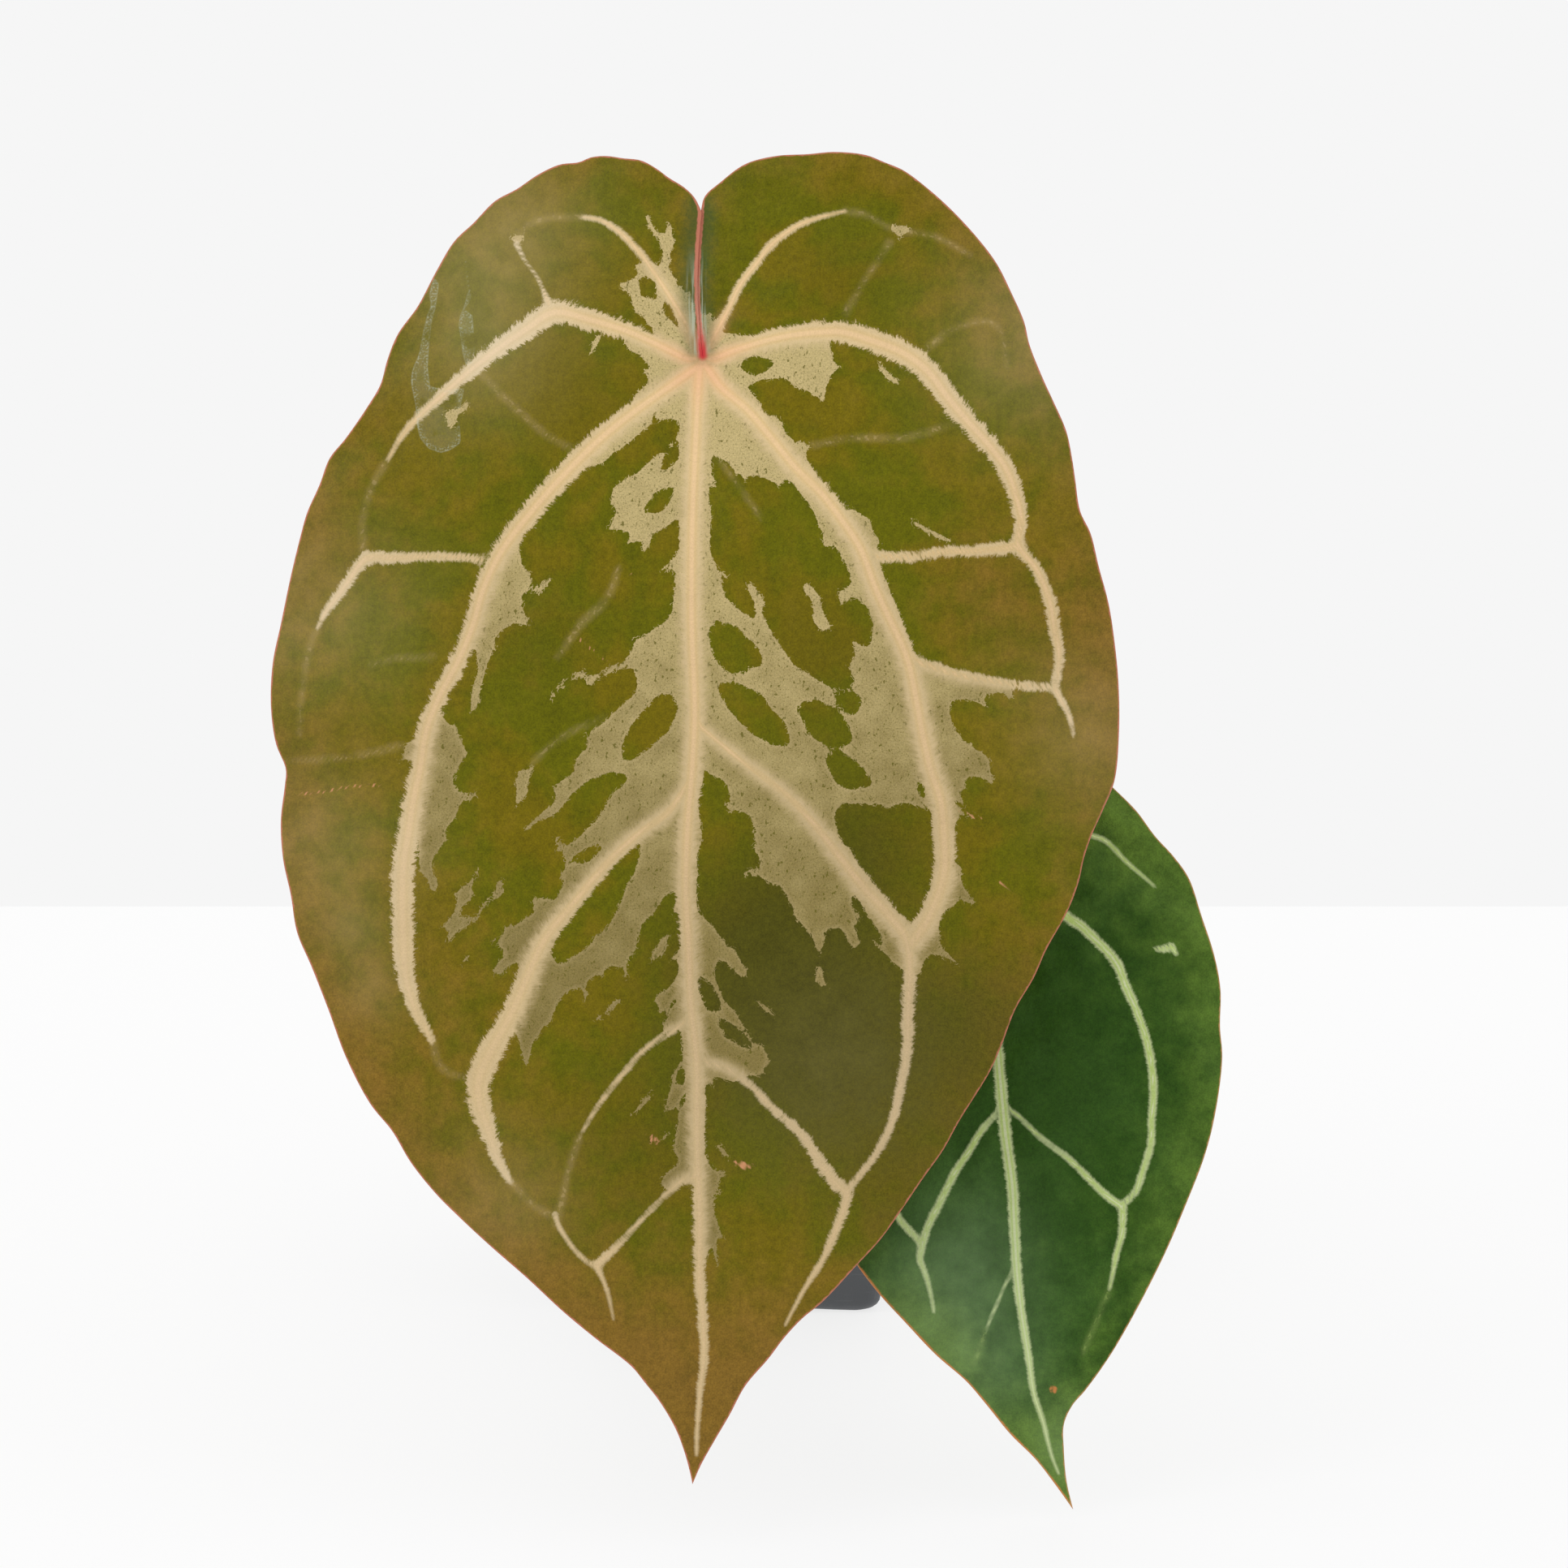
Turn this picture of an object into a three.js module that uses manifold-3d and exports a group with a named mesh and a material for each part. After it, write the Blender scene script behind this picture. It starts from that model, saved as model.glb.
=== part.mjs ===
// A young anthurium hybrid with patterned leaves, growing in a square nursery pot. Two heart
// shaped blades hang from long leaf stalks, which rise from one short stem with thick roots in a
// coarse potting mix. Millimetres, +Z up. The origin is the middle of the pot's underside, and the
// blades face -Y.
import * as THREE from 'three';
import * as BufferGeometryUtils from 'three/addons/utils/BufferGeometryUtils.js';
import Module from 'manifold-3d';

// Pot: a square tapered pot with rounded corners and a turned-out rim
const POT_HEIGHT = 90;
const POT_RIM_HALF = 50;
const POT_NECK_HALF = 46.5;
const POT_FOOT_HALF = 37.6;
const POT_WALL = 1.5;
const POT_FLOOR = 2.4;
const POT_RIM_DROP = 9;
const POT_TOP_CORNER = 11;
const POT_FOOT_CORNER = 8;
const POT_FOOT_ROUNDING = 3.6;
const POT_FLAT_HALF = 27;
const POT_ARCH = 1;
const DRAIN_RADIUS = 4.2;
const DRAIN_PLACES = [[19, 19], [-19, 19], [-19, -19], [19, -19], [24, 0], [0, 24], [-24, 0], [0, -24]];
const CORNER_STEPS = 4;
const SIDE_STEPS = 4;

// Potting mix: coarse bark and pumice, a little lower than the rim
const MIX_LEVEL = 77;
const MIX_MOUND = 4;
const MIX_ROUGHNESS = 2.2;
const MIX_RING_SHARES = [0.88, 0.72, 0.54, 0.36, 0.18];
const CHIP_COUNT = 38;
const CHIP_SIZE = [6.4, 4.4, 2.8];

// Clearance that separate pieces keep where they touch
const FIT_GAP = 0.3;

// Stem and roots
const STEM_FOOT_Z = 56;
const STEM_TOP_Z = 113;
const STEM_RADIUS = 8;
const STEM_TIP_RADIUS = 5.6;
const STEM_SIDES = 12;
const SCAR_LEVELS = [66, 73, 80, 93, 98, 103];
const SCAR_HEIGHT = 0.6;
const SCAR_HALF_WIDTH = 1.1;
const ROOT_RADIUS = 2.1;
const ROOT_TIP_RADIUS = 1.3;
const ROOT_SIDES = 8;
const ROOT_STEPS = 9;

// Leaf stalks, with the swollen joint that turns a blade
const STALK_SIDES = 10;
const STALK_STEPS = 20;
const STALK_FOOT_SHARE = 0.12;
const STALK_JOINT_LENGTH = 19;
const STALK_SQUARE_END = 7;

// Standing point in front of the plant that both blades face, and how far it looks down. The
// blades' outlines are drawn as they look from there, on flat planes square to the sight line.
const SIGHT = { x: 12.4, y: -1144, z: 376 };
const SIGHT_TILT = 12;

// Blades: distance of the drawing plane, place of the stalk joint on it, thickness and curvature.
// bow lifts the middle of the midrib towards the front, fold is the slope up from the midrib,
// droop bends the sides back, and wave ripples the margin.
const LARGE_BLADE = {
  distance: 990,
  right: -18,
  up: 94.7,
  thickness: 0.9,
  bow: 14,
  bowCentre: -105,
  bowReach: 120,
  fold: 0.1,
  droop: 0.0016,
  wave: 2,
  waveLength: 46,
  halfWidth: 92,
  slant: 0.85,
  marginSteps: 48,
  ringSteps: 6,
  ribStep: 13,
};
const SMALL_BLADE = {
  distance: 1017.5,
  right: 44.6,
  up: -9.1,
  thickness: 0.9,
  bow: 8,
  bowCentre: -70,
  bowReach: 85,
  fold: 0.1,
  droop: 0.0022,
  wave: 1.2,
  waveLength: 34,
  halfWidth: 50,
  slant: 0.85,
  marginSteps: 34,
  ringSteps: 5,
  ribStep: 12,
};

// Outlines on the drawing plane, right and up from the stalk joint. Each side runs from the top
// of the slit where the two lobes meet, round its lobe and down to the tip.
LARGE_BLADE.leftMargin = [
  [-0.9, 32.2], [-4.1, 37.6], [-10.3, 41.8], [-17.8, 44.1], [-24.8, 44.3], [-31.7, 42.7],
  [-41.2, 37.3], [-50.9, 29.7], [-59.2, 18.9], [-67.7, 5], [-71.5, -6.1], [-79.2, -18],
  [-85, -28.3], [-89.1, -39.2], [-93.6, -59.2], [-95.8, -77.6], [-92.6, -92.5], [-93.6, -104],
  [-91.4, -119.3], [-86.8, -135.2], [-79.2, -155.2], [-68.9, -171.7], [-59.2, -185.6],
  [-47, -197.3], [-30.8, -211.9], [-15.8, -223.9], [-9.5, -231.8], [-4.1, -242.8], [-2.3, -250],
];
LARGE_BLADE.rightMargin = [
  [0.1, 32], [3.8, 38.7], [9.4, 42.8], [16.2, 44.6], [29.3, 45.5], [40.3, 43.2], [50, 37.3],
  [61, 26.3], [68.6, 13.9], [72.4, 2.9], [77.6, -9.5], [81.9, -22.5], [83.7, -34.2],
  [87.8, -46.4], [91.3, -63], [92.3, -83.5], [91.3, -94], [86.4, -105.7], [83.3, -116.6],
  [76.1, -131.6], [69.3, -144.7], [63.7, -158.4], [53.3, -175.9], [43.6, -189.9], [34, -201.6],
  [22, -213.3], [14.6, -222.1], [5.9, -234.7], [-0.4, -245.7], [-2.3, -250],
];
LARGE_BLADE.midrib = [
  [0, 0], [-1.6, -18.5], [-2.3, -35.1], [-2.5, -57.6], [-1.8, -78.8], [-3.4, -104.2],
  [-3.8, -118.1], [-2.7, -142.6], [-1.3, -173.5], [-0.7, -204.7], [0.2, -221.6], [-1.4, -243.4],
];
SMALL_BLADE.leftMargin = [
  [-0.7, 13], [-2.6, 17.5], [-6.5, 21], [-13, 22], [-20.5, 19], [-28, 12.5], [-34.5, 3],
  [-39.5, -8], [-43.2, -20], [-45.6, -33], [-46.2, -46], [-45, -59], [-42.5, -71], [-38.5, -82],
  [-33.5, -92], [-27.8, -100.8], [-17, -113.6], [-3, -127.1], [7, -139.1], [17.6, -151.1],
  [21.3, -156.3],
];
SMALL_BLADE.rightMargin = [
  [0.5, 13], [3, 18], [7.5, 21], [14, 21], [21.5, 16.5], [30.7, 8], [40, -2.8], [47.7, -12.4],
  [50.5, -20.7], [53.5, -30], [54.9, -37.7], [55.3, -53.3], [53.8, -65.5], [46.8, -87.3],
  [35.3, -111.6], [24.1, -129.1], [19.2, -138], [19.8, -149.7], [21.3, -156.3],
];
SMALL_BLADE.midrib = [
  [0, 0], [2.3, -27], [4.3, -52.7], [7, -81], [8.5, -102.3], [12, -126.4], [14, -135.6],
  [17.6, -146.9],
];

// Ribs under the blades: the path of each on the drawing plane, and its width at the foot
const MIDRIB_WIDTH = 3.4;
const RIB_WIDTH = 2.4;
const MINOR_RIB_WIDTH = 1.7;
const RIB_END_SHARE = 0.35;
const RIB_DEPTH_SHARE = 0.55;
LARGE_BLADE.ribs = [
  [MIDRIB_WIDTH, [[0, 1.5], ...LARGE_BLADE.midrib.slice(1, -1), [-1, -238]]],
  [RIB_WIDTH, [[-0.6, -1], [-16.4, -13], [-33.3, -28.8], [-45.4, -44.3], [-54.5, -67.9],
    [-62.6, -90.7], [-66.4, -112.7], [-65.9, -137.3], [-58.3, -157.3]]],
  [RIB_WIDTH, [[-0.8, 0], [-16.4, 5.6], [-33.1, 9.9], [-51.5, -2.9], [-66.6, -17.3],
    [-75.2, -34.6], [-80.5, -52.4]]],
  [MINOR_RIB_WIDTH, [[-1, 1.6], [-10.3, 18], [-22.7, 30.4], [-37.8, 29.7]]],
  [MINOR_RIB_WIDTH, [[-2.4, -94], [-15.1, -106.4], [-35.1, -129.1], [-47, -153.9], [-49.7, -164.9],
    [-42.8, -182.7]]],
  [MINOR_RIB_WIDTH, [[-1.9, -146], [-18, -159.3], [-27.5, -173.2], [-32.6, -192.1]]],
  [MINOR_RIB_WIDTH, [[-0.6, -181], [-14, -191.7], [-23.6, -201.4]]],
  [RIB_WIDTH, [[0.6, -1], [15.1, -17.8], [31, -36.4], [41.8, -58.9], [48.6, -83], [53.5, -106.4],
    [46.1, -130]]],
  [RIB_WIDTH, [[0.8, 0], [13.9, 3.6], [30.8, 5.6], [44.5, 0.9], [58.9, -14.4], [69.3, -30.2],
    [76.9, -54], [79.2, -67.7]]],
  [MINOR_RIB_WIDTH, [[1, 1.6], [8.3, 16], [20.7, 29], [36.5, 31.5]]],
  [MINOR_RIB_WIDTH, [[-1.2, -81], [13.5, -93.2], [30.1, -110.5], [45.9, -130], [45.2, -154.3],
    [32, -184.7]]],
  [MINOR_RIB_WIDTH, [[-1, -156], [10.1, -161.1], [21.8, -172.3], [32, -184.9], [26.5, -200.5]]],
];
SMALL_BLADE.ribs = [
  [RIB_WIDTH, [[0, 1], ...SMALL_BLADE.midrib.slice(1)]],
  [MINOR_RIB_WIDTH, [[0.5, -0.8], [20.2, -20.7], [32.9, -35], [39.2, -55.5], [37.6, -77.5],
    [31.8, -87.5], [30, -105.1]]],
  [MINOR_RIB_WIDTH, [[0.6, 0.4], [18, 0.5], [30, -5.2], [42.2, -16.7]]],
  [MINOR_RIB_WIDTH, [[4.8, -62], [14.1, -71.8], [31.8, -87.5]]],
  [MINOR_RIB_WIDTH, [[-0.5, -0.8], [-12, -11], [-22, -24], [-29.5, -50], [-24, -78],
    [-13.5, -95.3]]],
  [MINOR_RIB_WIDTH, [[-0.6, 0.4], [-16, 2], [-28, -6], [-37, -20]]],
  [MINOR_RIB_WIDTH, [[4.6, -61], [-5.7, -79.6], [-13.5, -95.3], [-11.5, -106.6]]],
];

// Leaf stalks: way points from the stem to just behind the blade, and radii
const LARGE_STALK = {
  way: [[0, -8.6, 100], [0, -12.6, 102.5], [-1, -19, 114], [-3, -42, 158], [-5, -88, 209],
    [-6, -128, 242]],
  footRadius: 2.9,
  radius: 2,
  jointRadius: 2.7,
};
const SMALL_STALK = {
  way: [[7.8, -2.8, 95], [11.6, -4.3, 97.5], [16.5, -12, 108], [26, -44, 142], [40, -92, 161],
    [51, -128, 161]],
  footRadius: 2.3,
  radius: 1.6,
  jointRadius: 2.2,
};

// Roots: way points from the side of the stem, over the mix and down into it
const ROOTS = [
  [[-8.2, -0.8, 88], [-18, -4, 90.5], [-26, -8, 85], [-29, -10, 66]],
  [[-5, 6.5, 87], [-12, 16, 89], [-17, 23, 83], [-19, 26, 64]],
  [[5, 6.5, 89], [13, 16, 92], [21, 23, 86], [24, 26, 66]],
  [[6, -5.6, 86], [14, -15, 88.5], [19, -24, 83], [20, -28, 64]],
];

// Dry sheaths that wrapped the young leaves: side of the stem, spread, height and foot level
const SHEATHS = [
  { angle: 152, spread: 110, height: 24, footZ: 95 },
  { angle: 48, spread: 96, height: 32, footZ: 98 },
];
const SHEATH_THICKNESS = 0.8;
const SHEATH_RADIUS = 7.3;
const SHEATH_LEAN = 0.13;
const SHEATH_STEPS = 6;

// Random draws for the mix, repeatable from one build to the next
const MIX_SEED = 3;
const MERGE_DISTANCE = 1e-4;
const SMALLEST_DETAIL = 0.03;

const wasm = await Module();
wasm.setup();

const point = (x, y, z) => new THREE.Vector3(x, y, z);
const degrees = THREE.MathUtils.degToRad;
const mix = THREE.MathUtils.lerp;

/** Number source between 0 and 1 that gives the same numbers for the same seed. */
function seededRandom(seed) {
  let state = seed;
  return () => {
    state = (state * 16807) % 2147483647;
    return state / 2147483647;
  };
}

/** Closed geometry from triangles of points, with shared points merged. */
function bodyOf(triangles) {
  const loose = new THREE.BufferGeometry().setFromPoints(triangles.flat());
  const merged = BufferGeometryUtils.mergeVertices(loose, MERGE_DISTANCE);
  const corners = merged.index.array;
  const kept = [];
  for (let at = 0; at < corners.length; at += 3) {
    const [a, b, c] = corners.slice(at, at + 3);
    if (a !== b && b !== c && c !== a) {
      kept.push(a, b, c);
    }
  }
  merged.setIndex(kept);
  return merged;
}

/** Closed body through rings of points that run anticlockwise about the way they follow. */
function loft(rings) {
  const triangles = [];
  for (let level = 1; level < rings.length; level += 1) {
    const low = rings[level - 1];
    const high = rings[level];
    low.forEach((corner, side) => {
      const next = (side + 1) % low.length;
      triangles.push([corner, low[next], high[next]], [corner, high[next], high[side]]);
    });
  }
  const cap = (ring, flip) => {
    const middle = ring.reduce((sum, corner) => sum.add(corner), point(0, 0, 0));
    middle.divideScalar(ring.length);
    ring.forEach((corner, side) => {
      const next = ring[(side + 1) % ring.length];
      triangles.push(flip ? [middle, next, corner] : [middle, corner, next]);
    });
  };
  cap(rings[0], true);
  cap(rings[rings.length - 1], false);
  return bodyOf(triangles);
}

/** Round tube along a smooth curve, with a radius for each share of its length. */
function tube(curve, steps, sides, radiusAt) {
  const frames = curve.computeFrenetFrames(steps, false);
  const rings = [];
  for (let step = 0; step <= steps; step += 1) {
    const centre = curve.getPointAt(step / steps);
    const radius = radiusAt(step / steps);
    const ring = [];
    for (let side = 0; side < sides; side += 1) {
      const turn = (side / sides) * Math.PI * 2;
      const corner = centre.clone();
      corner.addScaledVector(frames.normals[step], radius * Math.cos(turn));
      corner.addScaledVector(frames.binormals[step], radius * Math.sin(turn));
      ring.push(corner);
    }
    rings.push(ring);
  }
  return loft(rings);
}

/** Solid for cutting and joining, from a closed geometry. */
function solidOf(geometry) {
  const mesh = new wasm.Mesh({
    numProp: 3,
    vertProperties: new Float32Array(geometry.attributes.position.array),
    triVerts: new Uint32Array(geometry.index.array),
  });
  return new wasm.Manifold(mesh);
}

/** Geometry back from a solid, without the slivers that cutting and joining leave. */
function geometryOf(solid) {
  const mesh = solid.simplify(SMALLEST_DETAIL).getMesh();
  const geometry = new THREE.BufferGeometry();
  geometry.setAttribute('position', new THREE.BufferAttribute(mesh.vertProperties, 3));
  geometry.setIndex(new THREE.BufferAttribute(mesh.triVerts, 1));
  return geometry;
}

/** Ring of a rounded square, anticlockwise from above; lift raises a point by its side share. */
function squareRing(half, corner, z, lift = () => 0) {
  const ring = [];
  const straight = half - corner;
  for (let quarter = 0; quarter < 4; quarter += 1) {
    const turn = (quarter * Math.PI) / 2;
    const local = [];
    for (let step = 0; step < SIDE_STEPS; step += 1) {
      const share = step / SIDE_STEPS;
      local.push([half, mix(-straight, straight, share), lift(share)]);
    }
    for (let step = 0; step < CORNER_STEPS; step += 1) {
      const bend = (step / CORNER_STEPS) * (Math.PI / 2);
      local.push([straight + corner * Math.cos(bend), straight + corner * Math.sin(bend), 0]);
    }
    for (const [x, y, raised] of local) {
      const turnedX = x * Math.cos(turn) - y * Math.sin(turn);
      const turnedY = x * Math.sin(turn) + y * Math.cos(turn);
      ring.push(point(turnedX, turnedY, z + raised));
    }
  }
  return ring;
}

/** Half width of the pot's inner wall at a height above the floor. */
function innerHalf(z) {
  const outer = mix(POT_FOOT_HALF, POT_NECK_HALF, z / (POT_HEIGHT - POT_RIM_DROP));
  return outer - POT_WALL;
}

/** Upright cylinder cutter. */
function postAt(x, y, radius, lowZ, highZ, sides) {
  const geometry = new THREE.CylinderGeometry(radius, radius, highZ - lowZ, sides);
  geometry.rotateX(Math.PI / 2);
  geometry.translate(x, y, (lowZ + highZ) / 2);
  geometry.deleteAttribute('normal');
  geometry.deleteAttribute('uv');
  return solidOf(BufferGeometryUtils.mergeVertices(geometry, MERGE_DISTANCE));
}

/** Pot: floor with drain holes, arched foot edges, tapered walls and a turned-out rim. */
function makePot() {
  const arch = (share) => POT_ARCH * Math.sin(Math.PI * share);
  const neckZ = POT_HEIGHT - POT_RIM_DROP;
  const rings = [
    squareRing(POT_FLAT_HALF, 3, 0),
    squareRing(POT_FOOT_HALF - POT_FOOT_ROUNDING, POT_FOOT_CORNER - POT_FOOT_ROUNDING, 0, arch),
    squareRing(POT_FOOT_HALF - 1.1, POT_FOOT_CORNER - 1.1, 1.1, arch),
    squareRing(POT_FOOT_HALF, POT_FOOT_CORNER, POT_FOOT_ROUNDING),
    squareRing(POT_NECK_HALF, POT_TOP_CORNER - 3, neckZ),
    squareRing(POT_RIM_HALF - 0.6, POT_TOP_CORNER, neckZ + 0.8),
    squareRing(POT_RIM_HALF, POT_TOP_CORNER, POT_HEIGHT - 1),
    squareRing(POT_RIM_HALF - 1, POT_TOP_CORNER - 1, POT_HEIGHT),
    squareRing(POT_RIM_HALF - 2, POT_TOP_CORNER - 2, POT_HEIGHT - 0.8),
    squareRing(innerHalf(neckZ) + 0.8, POT_TOP_CORNER - 4, neckZ + 1.6),
    squareRing(innerHalf(neckZ), POT_TOP_CORNER - 4.5, neckZ - 1),
    squareRing(innerHalf(POT_FLOOR + 2), POT_FOOT_CORNER - POT_WALL, POT_FLOOR + 2),
    squareRing(innerHalf(POT_FLOOR) - 2, POT_FOOT_CORNER - POT_WALL - 2, POT_FLOOR),
  ];
  let pot = solidOf(loft(rings));
  for (const [x, y] of DRAIN_PLACES) {
    pot = pot.subtract(postAt(x, y, DRAIN_RADIUS, -1, POT_FLOOR + 1, CORNER_STEPS * 3));
  }
  return geometryOf(pot);
}

/** Surface level of the mix at a place, a low mound round the stem. */
function mixLevel(x, y) {
  const away = Math.hypot(x, y) / POT_NECK_HALF;
  return MIX_LEVEL + MIX_MOUND * Math.max(0, 1 - away * away);
}

/** One piece of bark, lying on the mix at a random place. */
function makeChip(random, reach) {
  const chip = new THREE.IcosahedronGeometry(1, 0);
  chip.deleteAttribute('normal');
  chip.deleteAttribute('uv');
  const size = 0.6 + 0.6 * random();
  chip.scale(CHIP_SIZE[0] * size, CHIP_SIZE[1] * size, CHIP_SIZE[2] * size);
  chip.rotateX((random() - 0.5) * 0.9);
  chip.rotateY((random() - 0.5) * 0.9);
  chip.rotateZ(random() * Math.PI);
  const x = (random() * 2 - 1) * reach;
  const y = (random() * 2 - 1) * reach;
  chip.translate(x, y, mixLevel(x, y));
  return solidOf(BufferGeometryUtils.mergeVertices(chip, MERGE_DISTANCE));
}

/** Potting mix: fills the pot, rough on top, with bark pieces and holes for stem and roots. */
function makeMix() {
  const random = seededRandom(MIX_SEED);
  const edgeHalf = innerHalf(MIX_LEVEL) - FIT_GAP;
  const corner = POT_FOOT_CORNER - POT_WALL;
  const rings = [
    squareRing(innerHalf(POT_FLOOR) - 2 - FIT_GAP, corner - 2, POT_FLOOR + FIT_GAP),
    squareRing(innerHalf(POT_FLOOR + 2) - FIT_GAP, corner, POT_FLOOR + 2 + FIT_GAP),
    squareRing(edgeHalf, POT_TOP_CORNER - 4.5, MIX_LEVEL),
  ];
  for (const share of MIX_RING_SHARES) {
    const ring = squareRing(edgeHalf * share, (POT_TOP_CORNER - 4) * share, 0);
    for (const place of ring) {
      place.z = mixLevel(place.x, place.y) + MIX_ROUGHNESS * (random() * 2 - 1);
    }
    rings.push(ring);
  }
  let body = solidOf(loft(rings));
  for (let count = 0; count < CHIP_COUNT; count += 1) {
    body = body.add(makeChip(random, edgeHalf - CHIP_SIZE[0] - 2));
  }
  const stemHole = STEM_RADIUS + SCAR_HEIGHT + FIT_GAP;
  body = body.subtract(postAt(0, 0, stemHole, STEM_FOOT_Z - FIT_GAP, STEM_TOP_Z, STEM_SIDES * 2));
  for (const way of ROOTS) {
    body = body.subtract(solidOf(makeRoot(way, FIT_GAP)));
  }
  const lumps = body.decompose().sort((one, other) => other.volume() - one.volume());
  return geometryOf(lumps[0]);
}

/** Root: a tapering tube; extra widens and lengthens it to cut its hole. */
function makeRoot(way, extra = 0) {
  const places = way.map(([x, y, z]) => point(x, y, z));
  places[places.length - 1].z -= extra;
  const curve = new THREE.CatmullRomCurve3(places);
  const radiusAt = (share) => mix(ROOT_RADIUS, ROOT_TIP_RADIUS, share * share) + extra;
  return tube(curve, ROOT_STEPS, ROOT_SIDES, radiusAt);
}

/** Stem: short and stout, ringed by the scars of fallen leaves, with a rounded growing tip. */
function makeStem() {
  const neckZ = STEM_TOP_Z - STEM_TIP_RADIUS;
  const profile = [[STEM_FOOT_Z, STEM_RADIUS - 1.5], [STEM_FOOT_Z + 3, STEM_RADIUS - 0.3]];
  for (const z of SCAR_LEVELS) {
    const radius = mix(STEM_RADIUS, STEM_TIP_RADIUS, Math.max(0, (z - MIX_LEVEL) / (neckZ - MIX_LEVEL)));
    profile.push([z - SCAR_HALF_WIDTH, radius], [z, radius + SCAR_HEIGHT], [z + SCAR_HALF_WIDTH, radius]);
  }
  for (const lift of [0, 0.4, 0.75, 0.95]) {
    profile.push([neckZ + lift * STEM_TIP_RADIUS, STEM_TIP_RADIUS * Math.sqrt(1 - lift * lift)]);
  }
  return loft(profile.map(([z, radius]) => roundRing(radius, z, STEM_SIDES)));
}

/** Level round ring about the pot's axis. */
function roundRing(radius, z, sides) {
  const ring = [];
  for (let side = 0; side < sides; side += 1) {
    const turn = (side / sides) * Math.PI * 2;
    ring.push(point(radius * Math.cos(turn), radius * Math.sin(turn), z));
  }
  return ring;
}

/**
 * Closed body of a thin sheet. The faces are triangles of flat places, anticlockwise seen from
 * the front. Front and back use the same triangles, and a wall joins them along each free edge.
 */
function sheetBody(faces, front, back) {
  const name = ([a, b]) => `${Math.round(a * 1000)},${Math.round(b * 1000)}`;
  const whole = faces.filter(([a, b, c]) => new Set([name(a), name(b), name(c)]).size === 3);
  const edges = new Map();
  const triangles = [];
  for (const face of whole) {
    const [a, b, c] = face;
    triangles.push([front(a), front(b), front(c)], [back(a), back(c), back(b)]);
    for (const [from, to] of [[a, b], [b, c], [c, a]]) {
      edges.set(`${name(from)}|${name(to)}`, [from, to]);
    }
  }
  for (const [from, to] of edges.values()) {
    if (!edges.has(`${name(to)}|${name(from)}`)) {
      triangles.push([front(to), front(from), back(from)], [front(to), back(from), back(to)]);
    }
  }
  return bodyOf(triangles);
}

/** Triangles of a grid of flat places; flip reverses them. */
function gridFaces(rows, flip) {
  const faces = [];
  for (let row = 1; row < rows.length; row += 1) {
    for (let step = 1; step < rows[row].length; step += 1) {
      const [a, b] = [rows[row - 1][step - 1], rows[row - 1][step]];
      const [c, d] = [rows[row][step], rows[row][step - 1]];
      faces.push([a, b, c], [a, c, d]);
    }
  }
  return flip ? faces.map(([a, b, c]) => [a, c, b]) : faces;
}

/** Dry sheath: a thin pointed shell that stands close round one side of the stem. */
function makeSheath({ angle, spread, height, footZ }) {
  const rows = [];
  for (let column = 0; column <= SHEATH_STEPS; column += 1) {
    const across = column / SHEATH_STEPS;
    rows.push(Array.from({ length: SHEATH_STEPS + 1 }, (_, row) => [across, 1 - row / SHEATH_STEPS]));
  }
  const place = ([across, up], out) => {
    const reach = height * (1 - 0.8 * Math.abs(2 * across - 1) ** 1.7);
    const turn = degrees(angle + spread * (across - 0.5) * (1 - 0.35 * up));
    const radius = SHEATH_RADIUS + SHEATH_LEAN * reach * up + out;
    return point(radius * Math.cos(turn), radius * Math.sin(turn), footZ + reach * up);
  };
  const faces = gridFaces(rows, false);
  return sheetBody(faces, (at) => place(at, SHEATH_THICKNESS), (at) => place(at, 0));
}

const TILT = degrees(SIGHT_TILT);
const SIGHT_RIGHT = point(1, 0, 0);
const SIGHT_UP = point(0, Math.sin(TILT), Math.cos(TILT));
const SIGHT_AHEAD = point(0, Math.cos(TILT), -Math.sin(TILT));

/** Place by a blade: right and up as drawn, and how far it stands in front of the plane. */
function bladePoint(blade, [right, up], relief) {
  const nearer = 1 - relief / blade.distance;
  const place = point(SIGHT.x, SIGHT.y, SIGHT.z);
  place.addScaledVector(SIGHT_RIGHT, (blade.right + right) * nearer);
  place.addScaledVector(SIGHT_UP, (blade.up + up) * nearer);
  place.addScaledVector(SIGHT_AHEAD, blade.distance * nearer);
  return place;
}

/** Where the midrib runs at a height on the drawing plane. */
function midribAt(blade, up) {
  const { midrib } = blade;
  const below = midrib.findIndex((place) => place[1] < up);
  if (below < 1) {
    return below === 0 ? midrib[0][0] : midrib[midrib.length - 1][0];
  }
  const [high, low] = [midrib[below - 1], midrib[below]];
  return mix(high[0], low[0], (high[1] - up) / (high[1] - low[1]));
}

/** Relief of a blade's front face: bowed along, folded at the midrib, drooping and waved. */
function reliefAt(blade, [right, up]) {
  const aside = right - midribAt(blade, up);
  const along = (up - blade.bowCentre) / blade.bowReach;
  const edge = aside / blade.halfWidth;
  const rise = blade.bow * (1 - along * along) + blade.fold * (Math.hypot(aside, 4) - 4);
  const phase = (2 * Math.PI * up) / blade.waveLength + Math.sign(aside);
  return rise - blade.droop * aside * aside + blade.wave * edge * edge * Math.sin(phase);
}

/** Evenly spaced places along one side of a blade's margin. */
function marginPlaces(blade, side) {
  const margin = new THREE.SplineCurve(side.map(([right, up]) => new THREE.Vector2(right, up)));
  return margin.getSpacedPoints(blade.marginSteps);
}

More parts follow.
